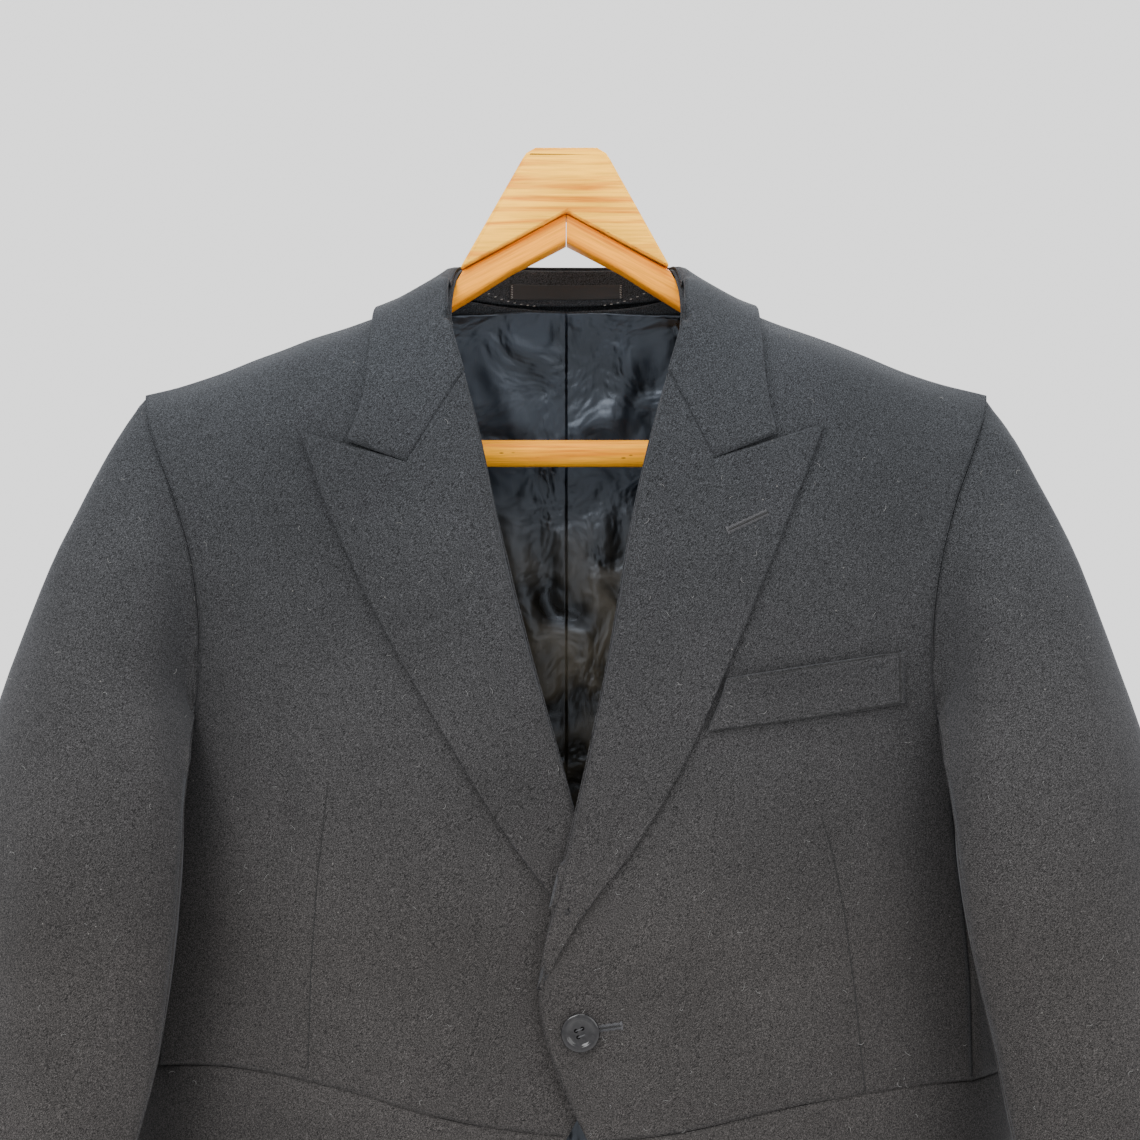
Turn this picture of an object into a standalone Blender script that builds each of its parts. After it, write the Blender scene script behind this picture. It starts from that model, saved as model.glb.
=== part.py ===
"""A one-button morning coat hanging on a wooden hanger, each piece of cloth,
horn and wood a solid of its own.

Sizes are in millimetres, and MM turns them to metres. The origin is the middle
of the back of the hanger's head board. X runs to the wearer's left, the coat
faces -Y and Z is up. Each half of the coat is worked out with x measured
outwards from the centre, and its side, -1 for the wearer's right and 1 for the
left, turns that to X. The left front laps over the right one.
"""

import math

import bmesh
import bpy
import numpy as np
from mathutils.kdtree import KDTree

MM = 0.001
SIDES = {"right": -1, "left": 1}

# Cloth walls and the gaps between pieces.
CLOTH = 2.0
LINING_THICKNESS = 1.0
LINING_GAP = 2.5
LABEL_THICKNESS = 0.6
SEAM_GAP = 0.3
LAYER_GAP = 0.9
LAYER = CLOTH + LAYER_GAP
OVERLAP = 2 * LAYER + 0.6
SAME_PLACE = 0.05
SHARPEST_MITRE = 0.7


def table(columns, *rows):
    """Rows of numbers as named columns."""
    return dict(zip(columns.split(), np.array(rows, float).T))


# The closed section of the coat at each height: half its width, and where its
# front, its side edge and its back lie along Y.
SECTIONS = table(
    "z half_width front side back",
    (-20, 290, -83, -18, 22),
    (-120, 285, -86, -18, 25),
    (-200, 268, -87, -11, 27),
    (-270, 251, -87, -3, 28),
    (-340, 243, -86, 4, 28),
    (-420, 241, -85, 8, 26),
    (-500, 242, -84, 10, 22),
    (-600, 245, -80, 10, 26),
    (-750, 250, -74, 8, 32),
    (-900, 255, -68, 6, 36),
    (-1070, 260, -62, 4, 40),
)
SQUARENESS = 2.5
ROUNDING = 0.62
FRONT_ROLL = 80
BACK_ROLL = 70

# The ridge of the shoulders, from the neck outwards.
RIDGE = table(
    "x z",
    (0, -30),
    (76, -61),
    (103, -75.5),
    (139, -87.5),
    (158, -94.5),
    (205, -112.5),
    (235, -119.8),
)
NECK_POINT = (76, -61)
SHOULDER_TIP = (235, -119.8)
CENTRE_BACK_NECK = -68
HEM = -1066

# Seams and edges of the fronts, as x and z from the top down.
FRONT_NECK = [NECK_POINT, (70, -76), (62, -95), (53.5, -112)]
ROLL_LINE = {
    "right": [
        (53.5, -112), (41, -165), (28, -225), (15, -274), (-2, -334), (-16, -385), (-29.9, -440),
    ],
    "left": [(53.5, -112), (36.6, -180), (24.4, -250), (12, -313), (-5, -385), (-16.7, -440)],
}
FRONT_EDGE = {
    "right": [(-29.9, -440), (-24.6, -466), (-14, -493), (-1, -517.5)],
    "left": [(-16.7, -440), (-11.4, -466), (-1, -493), (12, -519)],
}
FRONT_ARMHOLE = [
    SHOULDER_TIP, (230.5, -132), (216, -166), (203, -202), (197.5, -240), (198, -277), (212, -328),
]
SIDE_SEAM = {
    "right": [(212, -328), (211, -400), (213, -491)],
    "left": [(212, -328), (211, -400), (213, -499)],
}
FRONT_WAIST = {
    "right": [
        (-1, -517.5), (39, -513), (74.5, -505), (109, -495), (139, -490), (194, -486.5), (213, -491),
    ],
    "left": [(12, -519), (60, -514.8), (112, -504), (160.5, -498.7), (190, -497), (213, -499)],
}
SKIRT_EDGE = {
    "right": [(-1, -517.5), (30, -572), (68, -640), (127, -780), (178, -930), (208, HEM)],
    "left": [(12, -519), (40, -570), (74, -640), (130, -780), (180, -930), (208, HEM)],
}

# Seams of the backs and side bodies.
BACK_NECK = [(0, CENTRE_BACK_NECK), (30, -67.3), (56, -65), NECK_POINT]
BACK_ARMHOLE = [SHOULDER_TIP, (224, -146), (208, -175), (196, -207), (190, -240)]
BACK_SEAM = [(190, -240), (172, -300), (128, -380), (86, -440), (62, -500)]
TAIL_EDGE = [(62, -500), (66, -700), (76, HEM)]
ARMPIT = table(
    "share z",
    (0, -328),
    (0.2, -340),
    (0.4, -345),
    (0.6, -337),
    (0.8, -305),
    (1, -240),
)
VENT_OPENING = 2.0
VENT_TOP = -510
VENT_FADE = 200

# Where the right front starts to sink behind the left one, and has sunk fully.
LAPPED_X = (20, 78)
LAPPED_TOP = (-360, -270)
LAPPED_BOTTOM = (-660, -530)

# Rows and columns of the nets. Panels that share a seam share its points.
NECK_STEPS = 4
ROLL_STEPS = 8
EDGE_STEPS = 3
ARMHOLE_STEPS = 8
SIDE_STEPS = 7
SHOULDER_STEPS = 8
WAIST_STEPS = 8
ARMPIT_STEPS = 6
BACK_ARMHOLE_STEPS = 6
BACK_NECK_STEPS = 3
TAIL_STEPS = 6
HEAD_STEPS = 6
ARM_STEPS = 5
NEAR_RIDGE = 1.5

# The sleeves: where the inner and outer edges show from the front, the depth of
# the section across its flat and where its middle lies along Y.
SLEEVES = {
    "right": table(
        "z inner outer depth middle",
        (-372, 214, 327, 45, -68),
        (-450, 221.5, 334, 43, -64),
        (-520, 233, 341, 40, -66),
        (-610, 244, 348, 37, -76),
        (-710, 252, 352, 34, -90),
    ),
    "left": table(
        "z inner outer depth middle",
        (-372, 219.5, 327, 45, -67),
        (-450, 231.5, 336, 43, -64),
        (-520, 241, 342, 40, -66),
        (-610, 248, 348, 37, -76),
        (-710, 254, 352, 34, -90),
    ),
}
SLEEVE_LEAN = math.radians(40)
HEAD_FULLNESS = 0.8
HEAD_LEAVING = np.array([0.6, 0, -0.35])
HEAD_REACH = 62
HEAD_ARRIVING = 0.95
HEAD_GATHER = 1.2
SLEEVE_PROBE = 10
ROUND_SLEEVE = [0, 0.565, 0.815, 1]
ARMPIT_GAP = 3.0
FORE_SEAM = 7
HIND_SEAM = 17

# Lapels, from the gorge round to the break.
NOTCH = {"right": (83.8, -160.6), "left": (77.6, -158.8)}
LAPEL_EDGE = {
    "right": [
        (140.7, -144.3), (127.3, -181.6), (105.5, -230), (66.2, -300.4), (31.3, -358.7), (7.8, -390),
        (-26, -440),
    ],
    "left": [
        (137.3, -139), (116.2, -192.5), (93.3, -249), (70.3, -303), (37.5, -361.8), (1.4, -410),
        (-13, -440),
    ],
}
LAPEL_ROLL = 2.5
LAPEL_FLAT_FROM = {"right": 0.66, "left": 1}
NEAR_ROLL = 0.5
ROLL_FADE_START = 0.2
ROLL_FADE_END = 0.25

# The collar, from centre back to its front end: the fold along the top and the
# lower edge of the fall.
COLLAR = table(
    "fold_x fold_y fold_z edge_x edge_y edge_z",
    (0, 22, -40.5, 0, 30, -86),
    (24, 20.5, -40.7, 30, 29.5, -86.5),
    (46, 14.5, -41.3, 62, 26, -88),
    (59, 5, -42.3, 90, 15, -84),
    (62, -14, -44, 105, -17, -70),
    (64, -34, -54, 106, -50, -82),
    (63.5, -56, -72, 106, -67, -103),
    (59.5, -76, -92, 108, -76, -125),
    (53.5, -84, -112, 112, -78, -145.5),
)
COLLAR_POINT = {"right": (116.4, -149.1), "left": (112, -145.5)}
COLLAR_STEPS = 22
GORGE_STEPS = 3
PEAK_STEPS = 4
POINT_STEPS = 3
COLLAR_CLEARANCE = 1.4
CLEAR_FROM = -105
CLEAR_FADE = 25
END_BEND = 6
STAND_STEPS = 2
STAND_SHORT = 3
STAND_DROP = 4.5
STAND_LIFT = 1.6
STAND_INWARDS = 2.4
STAND_AXIS = np.array([0, -30, 0])

# What lies on the panels.
WELT = {
    "top_in": (85, -275.3),
    "top_out": (180, -262.1),
    "low_out": (181.3, -289.1),
    "low_in": (73.6, -302.4),
}
BUTTON_CENTRE = (7.5, -460)
BUTTON_RADIUS = 10.2
BUTTON_THICKNESS = 3.2
BUTTON_HOLE = 0.9
BUTTON_HOLE_SPREAD = 2.5
BUTTON_TILT = math.radians(20)
WAIST_BUTTON_CENTRE = (62, -498)
WAIST_BUTTON_RADIUS = 9.5
LABEL_SIZE = (64, 8.6)
LABEL_MIDDLE = -58
LABEL_GAP = 0.3
WELT_ROWS = 3
WELT_COLUMNS = 8
LINING_DROP = 0.9

# The hanger.
BOARD = 36
HEAD_OUTLINE = [
    (-58.8, -51.8), (-24, 9), (-22, 12), (-17, 15), (17, 15), (22, 12), (24, 9), (57.2, -50.6), (0, -20),
]
HEAD_BEVEL = 2.0
ARM_FRONT = -31
ARM_BACK = -11
ARM_EASE = 2.5
CORNER_STEPS = 4
ARMS = table(
    "x top bottom round",
    (0.2, -20.6, -36.5, 2.5),
    (30, -36.8, -52, 2.5),
    (57, -51.5, -69, 3),
    (62, -59.5, -72, 4),
    (70, -66, -77, 7),
    (76, -67.5, -82, 9),
    (103, -80, -98, 9.5),
    (139, -92.5, -114, 9.5),
    (170, -104.5, -128, 9.5),
    (196, -114.5, -141, 9.5),
    (201, -116.5, -166, 9.5),
    (218, -122.5, -163, 9.5),
)
BAR_RADIUS = 7.5
BAR_HEIGHT = -152.5
BAR_HALF_LENGTH = 196.3

COLOURS = {
    "wool": ((0.035, 0.036, 0.04), 0.9),
    "satin": ((0.015, 0.018, 0.03), 0.4),
    "horn": ((0.01, 0.01, 0.012), 0.2),
    "tape": ((0.02, 0.016, 0.014), 0.7),
    "pine": ((0.72, 0.46, 0.16), 0.5),
}


def smooth(at, known, values):
    """A cubic curve through the known values, read at the given places."""
    order = np.argsort(known)
    known = np.asarray(known, float)[order]
    values = np.asarray(values, float)[order]
    slopes = np.gradient(values, known)
    at = np.clip(at, known[0], known[-1])
    k = np.clip(np.searchsorted(known, at) - 1, 0, len(known) - 2)
    step = known[k + 1] - known[k]
    t = (at - known[k]) / step
    start = (1 + 2 * t) * (1 - t) ** 2 * values[k] + t * (1 - t) ** 2 * step * slopes[k]
    end = t * t * (3 - 2 * t) * values[k + 1] - t * t * (1 - t) * step * slopes[k + 1]
    return start + end


def ease(t):
    """A soft step from 0 to 1."""
    t = np.clip(t, 0, 1)
    return t * t * (3 - 2 * t)


def lengths(points):
    """The distance run along the points, from 0."""
    return np.concatenate([[0], np.cumsum(np.linalg.norm(np.diff(points, axis=0), axis=1))])


def path(points, count, gather=1.0):
    """count + 1 points along a smooth curve through the given ones. A gather
    over 1 draws them towards the start."""
    points = np.array(points, float)
    chord = lengths(points)
    fine = np.linspace(0, chord[-1], 30 * len(points))
    dense = np.stack([smooth(fine, chord, column) for column in points.T], 1)
    run = lengths(dense)
    wanted = run[-1] * np.linspace(0, 1, count + 1) ** gather
    return np.stack([np.interp(wanted, run, column) for column in dense.T], 1)


def chain(*runs):
    """Runs of points joined end to start."""
    return np.concatenate([runs[0]] + [run[1:] for run in runs[1:]])


def patch(top, bottom, inner, outer):
    """A net between four borders. Rows run down and columns run outwards."""
    u = lengths(top) / lengths(top)[-1] + lengths(bottom) / lengths(bottom)[-1]
    v = lengths(inner) / lengths(inner)[-1] + lengths(outer) / lengths(outer)[-1]
    u = u[None, :, None] / 2
    v = v[:, None, None] / 2
    across = (1 - u) * inner[:, None] + u * outer[:, None]
    down = (1 - v) * top[None] + v * bottom[None]
    top_corners = (1 - u) * top[0] + u * top[-1]
    bottom_corners = (1 - u) * bottom[0] + u * bottom[-1]
    return across + down - (1 - v) * top_corners - v * bottom_corners


def section(column, z):
    return smooth(z, SECTIONS["z"], SECTIONS[column])


def ridge(x):
    return smooth(np.abs(x), RIDGE["x"], RIDGE["z"])


def rise(x, z, roll):
    """How full the section is at x: 0 at the ridge and at the side edge."""
    across = np.clip(np.abs(x) / section("half_width", z), 0, 1)
    above = 1 - np.clip((ridge(x) - z) / roll, 0, 1)
    return (1 - across**SQUARENESS) ** ROUNDING * np.sqrt(1 - above**2)


def tuck(side, x, z):
    """How far the right front and skirt lie behind the left ones."""
    if side == "left":
        return np.zeros(np.shape(x))
    inwards = ease((LAPPED_X[1] - x) / np.ptp(LAPPED_X))
    below = ease((LAPPED_TOP[1] - z) / np.ptp(LAPPED_TOP))
    above = ease((z - LAPPED_BOTTOM[0]) / np.ptp(LAPPED_BOTTOM))
    return OVERLAP * inwards * below * above


def front_point(side, x, z):
    """The outer face of a front, in x from the centre."""
    middle = section("side", z)
    y = middle + (section("front", z) - middle) * rise(x, z, FRONT_ROLL) + tuck(side, x, z)
    return np.stack([x, y, z], -1)


def back_point(x, z):
    middle = section("side", z)
    y = middle + (section("back", z) - middle) * rise(x, z, BACK_ROLL)
    return np.stack([x, y, z], -1)


def turn_of(x, z, face):
    """The turn round the section where its front (face 1) or its back (face -1)
    is x from the centre."""
    across = x / section("half_width", z)
    return face * np.arccos(np.sign(across) * np.abs(across) ** (SQUARENESS / 2))


def ring_point(side, turn, z):
    """A point of the section. A turn of 0 is the side edge, 90 degrees the centre
    of the front and -90 degrees the centre of the back."""
    across = np.sign(np.cos(turn)) * np.abs(np.cos(turn)) ** (2 / SQUARENESS)
    x = section("half_width", z) * across
    middle = section("side", z)
    face = np.where(turn > 0, section("front", z), section("back", z))
    y = middle + (face - middle) * np.abs(np.sin(turn)) ** (2 * ROUNDING)
    return np.stack([x, y + np.where(turn > 0, tuck(side, x, z), 0), z], -1)


def seam_turns(points, face):
    return np.stack([turn_of(points[:, 0], points[:, 1], face), points[:, 1]], 1)


def seams_of(side):
    """Every seam and edge of one half, as x and z or as turn and z."""
    along_ridge = zip(RIDGE["x"][2:-1], RIDGE["z"][2:-1])
    found = {
        "shoulder": path([NECK_POINT, *along_ridge, SHOULDER_TIP], SHOULDER_STEPS),
        "armhole": path(FRONT_ARMHOLE, ARMHOLE_STEPS, NEAR_RIDGE),
        "side": path(SIDE_SEAM[side], SIDE_STEPS),
        "waist": path(FRONT_WAIST[side], WAIST_STEPS),
        "roll": path(ROLL_LINE[side], ROLL_STEPS),
        "back_armhole": path(BACK_ARMHOLE, BACK_ARMHOLE_STEPS, NEAR_RIDGE),
        "back": path(BACK_SEAM, SIDE_STEPS),
        "tail": path(TAIL_EDGE, TAIL_STEPS),
    }
    found["shoulder"][:, 1] = ridge(found["shoulder"][:, 0])
    start = turn_of(*found["side"][0], 1)
    end = turn_of(*found["back"][0], -1)
    share = np.linspace(0, 1, ARMPIT_STEPS + 1)
    height = smooth(share, ARMPIT["share"], ARMPIT["z"])
    found["armpit"] = np.stack([start + share * (end - start), height], 1)
    start = np.array([turn_of(*found["side"][-1], 1), found["side"][-1][1]])
    end = np.array([turn_of(*found["back"][-1], -1), found["back"][-1][1]])
    found["side_waist"] = start + share[:, None] * (end - start)
    return found


def front_net(side, seams):
    neck = path(FRONT_NECK, NECK_STEPS, NEAR_RIDGE)
    edge = path(FRONT_EDGE[side], EDGE_STEPS)
    inner = chain(neck, seams["roll"], edge)
    outer = chain(seams["armhole"], seams["side"])
    flat = patch(seams["shoulder"], seams["waist"], inner, outer)
    return front_point(side, flat[..., 0], flat[..., 1])


def side_body_net(side, seams):
    front = seam_turns(seams["side"], 1)
    back = seam_turns(seams["back"], -1)
    flat = patch(seams["armpit"], seams["side_waist"], front, back)
    return ring_point(side, flat[..., 0], flat[..., 1])


def back_net(seams):
    top = chain(path(BACK_NECK, BACK_NECK_STEPS), seams["shoulder"])
    outer = chain(seams["back_armhole"], seams["back"], seams["tail"])
    share = lengths(outer) / lengths(outer)[-1]
    height = CENTRE_BACK_NECK + share * (HEM - CENTRE_BACK_NECK)
    opening = VENT_OPENING * ease((VENT_TOP - height) / VENT_FADE)
    centre = np.stack([opening, height], 1)
    hem = np.linspace(centre[-1], outer[-1], len(top))
    flat = patch(top, hem, centre, outer)
    return back_point(flat[..., 0], flat[..., 1])


def skirt_net(side, seams):
    top = chain(seam_turns(seams["waist"], 1), seams["side_waist"])
    front = seam_turns(path(SKIRT_EDGE[side], TAIL_STEPS), 1)
    tail = seam_turns(seams["tail"], -1)
    hem = np.linspace(front[-1], tail[-1], len(top))
    flat = patch(top, hem, front, tail)
    return ring_point(side, flat[..., 0], flat[..., 1])


def sleeve_ring(side, share, z):
    """Points round a sleeve's section at one height. A share of 0 is its
    outermost point, and it runs to the front."""
    data = SLEEVES[side]
    inner, outer, depth, middle = [
        smooth(z, data["z"], data[name]) for name in ("inner", "outer", "depth", "middle")
    ]
    cos = math.cos(SLEEVE_LEAN)
    sin = math.sin(SLEEVE_LEAN)
    length = math.sqrt(((outer - inner) / 2) ** 2 - (depth * sin) ** 2) / cos
    turn = math.atan2(depth * sin, length * cos) + 2 * math.pi * share
    x = (inner + outer) / 2 + length * cos * np.cos(turn) + depth * sin * np.sin(turn)
    y = middle + length * sin * np.cos(turn) - depth * cos * np.sin(turn)
    return np.stack([x, y, np.full(len(x), float(z))], 1)


def facing(surface, first, second):
    """Which way a surface faces in plan, seen from outside the coat."""
    small = 0.5
    second = second - 2 * small
    along = surface(first - small * surface_unit(first), second) - surface(first, second)
    down = surface(first, second - small) - surface(first, second)
    normal = np.cross(along, down)
    outwards = surface(first, second) - np.stack([0 * second, section("side", second), second], -1)
    normal *= np.sign((normal * outwards).sum(axis=-1))[..., None]
    normal[..., 2] = 0
    return normal / np.linalg.norm(normal, axis=-1)[..., None]


def surface_unit(first):
    """A step across a surface: a turn is given in radians and x in millimetres."""
    return 0.01 if np.abs(first).max() < math.pi else 1


def armhole_facing(side, seams):
    """Which way the body faces at each point of the armhole."""
    return chain(
        facing(lambda x, z: front_point(side, x, z), *seams["armhole"].T),
        facing(lambda turn, z: ring_point(side, turn, z), *seams["armpit"].T),
        facing(back_point, *seams["back_armhole"][::-1].T),
    )


def sleeve_net(side, seams):
    """Rows run down the sleeve and columns run round it, from the shoulder tip by
    the front."""
    armhole = chain(
        front_point(side, *seams["armhole"].T),
        ring_point(side, *seams["armpit"].T),
        back_point(*seams["back_armhole"][::-1].T),
    )
    share = lengths(armhole) / lengths(armhole)[-1]
    leaving = HEAD_FULLNESS * armhole_facing(side, seams) + HEAD_LEAVING
    leaving *= HEAD_REACH / np.linalg.norm(leaving, axis=1)[:, None]
    top = SLEEVES[side]["z"][0]
    low = SLEEVES[side]["z"][-1]
    seam_columns = [0, ARMHOLE_STEPS, ARMHOLE_STEPS + ARMPIT_STEPS, -1]
    share = np.interp(share, share[seam_columns], ROUND_SLEEVE)
    under_arm = slice(ARMHOLE_STEPS - 1, ARMHOLE_STEPS + ARMPIT_STEPS + 2)
    armhole[under_arm] += ARMPIT_GAP / HEAD_REACH * leaving[under_arm]
    bicep = sleeve_ring(side, share, top)
    below = sleeve_ring(side, share, top - SLEEVE_PROBE)
    reach = np.linalg.norm(bicep - armhole, axis=1)[:, None]
    arriving = (below - bicep) / SLEEVE_PROBE * HEAD_ARRIVING * reach
    rows = []
    for t in np.linspace(0, 1, HEAD_STEPS + 1) ** HEAD_GATHER:
        row = (1 + 2 * t) * (1 - t) ** 2 * armhole + t * (1 - t) ** 2 * leaving
        rows.append(row + t * t * (3 - 2 * t) * bicep - t * t * (1 - t) * arriving)
    for z in np.linspace(top, low, ARM_STEPS + 1)[1:]:
        rows.append(sleeve_ring(side, share, z))
    return np.array(rows)


def face_normals(net):
    """A normal for each face of a net, as long as its area."""
    return np.cross(net[1:, :-1] - net[:-1, 1:], net[1:, 1:] - net[:-1, :-1]) / 2


def add_up(net, normals):
    """The sum at each point of the normals of the faces round it."""
    total = np.zeros(net.shape)
    before = slice(None, -1)
    after = slice(1, None)
    for rows, columns in ((after, after), (after, before), (before, after), (before, before)):
        total[rows, columns] += normals
    return total


def shared_normals(nets):
    """Offsets at the points of nets that meet along seams, one for each place,
    so that walls meet on a mitre. Each moves its faces by one unit."""
    places = np.concatenate([net.reshape(-1, 3) for net in nets.values()])
    sums = []
    counts = []
    for net in nets.values():
        normals = face_normals(net)
        normals /= np.linalg.norm(normals, axis=2)[..., None]
        sums.append(add_up(net, normals).reshape(-1, 3))
        counts.append(add_up(net, np.ones(normals.shape)).reshape(-1, 3)[:, 0])
    sums = np.concatenate(sums)
    counts = np.concatenate(counts)
    tree = KDTree(len(places))
    for index, place in enumerate(places):
        tree.insert(place, index)
    tree.balance()
    offsets = np.zeros(places.shape)
    for index, place in enumerate(places):
        near = [found[1] for found in tree.find_range(place, SAME_PLACE)]
        total = sums[near].sum(axis=0)
        agreement = np.linalg.norm(total) / counts[near].sum()
        offsets[index] = total / np.linalg.norm(total) / max(agreement, SHARPEST_MITRE)
    found = {}
    start = 0
    for name, net in nets.items():
        end = start + net.shape[0] * net.shape[1]
        found[name] = offsets[start:end].reshape(net.shape)
        start = end
    return found


def trimmed(net, gap):
    """The net with its four borders drawn in by the gap."""
    drawn = net.copy()
    for edge, near in ((0, 1), (-1, -2)):
        along = net[near] - net[edge]
        drawn[edge] += along * gap / np.linalg.norm(along, axis=1)[:, None]
    for edge, near in ((0, 1), (-1, -2)):
        along = net[:, near] - net[:, edge]
        drawn[:, edge] += along * gap / np.linalg.norm(along, axis=1)[:, None]
    return drawn


def outward(side, net, face=1):
    """A net put on its side of the coat, its columns turned so that its normals point out."""
    placed = net * np.array([SIDES[side], 1, 1])
    return placed if SIDES[side] * face > 0 else placed[:, ::-1]


def add_object(name, mesh, colour, collection):
    mesh.materials.append(material(colour))
    mesh.shade_smooth()
    mesh.set_sharp_from_angle(angle=math.radians(40))
    made = bpy.data.objects.new(name, mesh)
    collection.objects.link(made)
    return made


def material(colour):
    found = bpy.data.materials.get(colour)
    if found:
        return found
    made = bpy.data.materials.new(colour)
    made.use_nodes = True
    shader = made.node_tree.nodes["Principled BSDF"]
    base, roughness = COLOURS[colour]
    shader.inputs["Base Color"].default_value = (*base, 1)
    shader.inputs["Roughness"].default_value = roughness
    shader.inputs["Metallic"].default_value = 0
    made.diffuse_color = (*base, 1)
    return made


def net_mesh(name, net):
    """An open sheet through the points of a net."""
    rows, columns = net.shape[:2]
    shape = bmesh.new()
    points = [[shape.verts.new(place * MM) for place in row] for row in net]
    for i in range(rows - 1):
        for j in range(columns - 1):
            corners = (points[i][j], points[i + 1][j], points[i + 1][j + 1], points[i][j + 1])
            shape.faces.new(corners)
    mesh = bpy.data.meshes.new(name)
    shape.to_mesh(mesh)
    shape.free()
    return mesh


def sheet(name, net, thickness, colour, collection):
    """A net as an open surface with Solidify, its points on the outer face."""
    made = add_object(name, net_mesh(name, net), colour, collection)
    solid = made.modifiers.new("thickness", "SOLIDIFY")
    solid.thickness = thickness * MM
    solid.offset = -1
    solid.use_even_offset = False
    return made


def wall(name, outer, inner, colour, collection):
    """A closed wall between two nets, for panels whose edges are mitred to their
    neighbours."""
    rows, columns = outer.shape[:2]
    shape = bmesh.new()
    faces = []
    for net in (outer, inner):
        faces.append([[shape.verts.new(place * MM) for place in row] for row in net])
    for net in faces:
        for i in range(rows - 1):
            for j in range(columns - 1):
                shape.faces.new((net[i][j], net[i][j + 1], net[i + 1][j + 1], net[i + 1][j]))
    rim = [(0, j) for j in range(columns - 1)]
    rim += [(i, columns - 1) for i in range(rows - 1)]
    rim += [(rows - 1, j) for j in range(columns - 1, 0, -1)]
    rim += [(i, 0) for i in range(rows - 1, 0, -1)]
    for here, there in zip(rim, rim[1:] + rim[:1]):
        corners = [faces[0][here[0]][here[1]], faces[0][there[0]][there[1]]]
        corners += [faces[1][there[0]][there[1]], faces[1][here[0]][here[1]]]
        shape.faces.new(corners)
    bmesh.ops.recalc_face_normals(shape, faces=shape.faces)
    mesh = bpy.data.meshes.new(name)
    shape.to_mesh(mesh)
    shape.free()
    return add_object(name, mesh, colour, collection)


def body_nets():
    """Every panel of the body and sleeves, as a net of its outer points."""
    nets = {}
    for side in SIDES:
        seams = seams_of(side)
        sleeve = sleeve_net(side, seams)
        top_sleeve = np.concatenate([sleeve[:, HIND_SEAM:], sleeve[:, 1 : FORE_SEAM + 1]], 1)
        nets["front_" + side] = outward(side, front_net(side, seams))
        nets["side_body_" + side] = outward(side, side_body_net(side, seams))
        nets["back_" + side] = outward(side, back_net(seams), -1)
        nets["skirt_" + side] = outward(side, skirt_net(side, seams))
        nets["top_sleeve_" + side] = outward(side, top_sleeve, -1)
        under_sleeve = sleeve[:, FORE_SEAM : HIND_SEAM + 1]
        nets["under_sleeve_" + side] = outward(side, under_sleeve, -1)
    return nets


def add_body(nets, offsets, collection):
    for name, net in nets.items():
        outer = trimmed(net, SEAM_GAP / 2)
        inner = trimmed(net - CLOTH * offsets[name], SEAM_GAP / 2)
        wall(name, outer, inner, "wool", collection)


def add_lining(nets, offsets, collection):
    """The lining of the backs, from their own points moved in. It starts at the
    neck seam and just below the shoulder seam."""
    for side in SIDES:
        net = nets["back_" + side]
        offset = offsets["back_" + side]
        columns = net.shape[1]
        from_centre = np.arange(columns) if SIDES[side] < 0 else np.arange(columns)[::-1]
        down = LINING_DROP * ease((from_centre - BACK_NECK_STEPS + 2) / 2)[:, None]
        outer = net - (CLOTH + LINING_GAP) * offset
        inner = outer - LINING_THICKNESS * offset
        for points in (outer, inner):
            points[0] += down * (points[1] - points[0])
        outer = trimmed(outer, SEAM_GAP / 2)
        inner = trimmed(inner, SEAM_GAP / 2)
        wall("back_lining_" + side, outer, inner, "satin", collection)


def raised(net, height):
    """The net moved out along its own normals."""
    normals = add_up(net, face_normals(net))
    return net + height * normals / np.linalg.norm(normals, axis=2)[..., None]


def add_lapels(collection):
    """The lapels lie on the fronts, from the roll line out, a little fuller near the roll."""
    for side in SIDES:
        roll = path(ROLL_LINE[side], 2 * ROLL_STEPS)
        edge = path(LAPEL_EDGE[side], 2 * ROLL_STEPS)
        gorge = path([roll[0], NOTCH[side]], GORGE_STEPS)
        gorge = chain(gorge, path([NOTCH[side], edge[0]], PEAK_STEPS))
        end = np.linspace(roll[-1], edge[-1], len(gorge))
        flat = patch(gorge, end, roll, edge)
        net = front_point(side, flat[..., 0], flat[..., 1])
        fullness = np.sin(math.pi * np.linspace(0, 1, len(gorge)) ** NEAR_ROLL)
        down = np.linspace(0, 1, len(roll))
        fading = ease((LAPEL_FLAT_FROM[side] - down) / ROLL_FADE_END) * ease(down / ROLL_FADE_START)
        height = LAYER + LAPEL_ROLL * fading[:, None] * fullness[None, :]
        height = height if SIDES[side] > 0 else height[:, ::-1]
        lapel = raised(outward(side, net), height[..., None])
        sheet("lapel_" + side, trimmed(lapel, SEAM_GAP), CLOTH, "wool", collection)


def collar_lines(side):
    """The neck seam, the fold and the lower edge of one half of the collar, from
    centre back."""
    neck_back = back_point(*path(BACK_NECK, COLLAR_STEPS).T)
    neck_front = front_point(side, *path(FRONT_NECK, COLLAR_STEPS).T)
    fold = np.stack([COLLAR["fold_" + axis] for axis in "xyz"], 1)
    edge = np.stack([COLLAR["edge_" + axis] for axis in "xyz"], 1)
    edge[-1, 0], edge[-1, 2] = COLLAR_POINT[side]
    seam = chain(neck_back, neck_front)
    return [path(line, COLLAR_STEPS) for line in (seam, fold, edge)]


def over_body(side, net):
    """The net kept a layer clear of the shoulders, front and back."""
    x, y, z = net[..., 0], net[..., 1], net[..., 2]
    clear = LAYER + COLLAR_CLEARANCE * ease((z - CLEAR_FROM) / CLEAR_FADE)
    before = front_point(side, x, z - clear)[..., 1] - clear
    behind = back_point(x, z - clear)[..., 1] + clear
    middle = SECTIONS["side"][0]
    kept = np.where(y < middle, np.minimum(y, before), np.maximum(y, behind))
    return np.stack([x, np.where(z < ridge(x) + clear, kept, y), z], -1)


def placed(side, net):
    """The net on its side of the coat, its columns as they were."""
    return net * np.array([SIDES[side], 1, 1])


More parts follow.
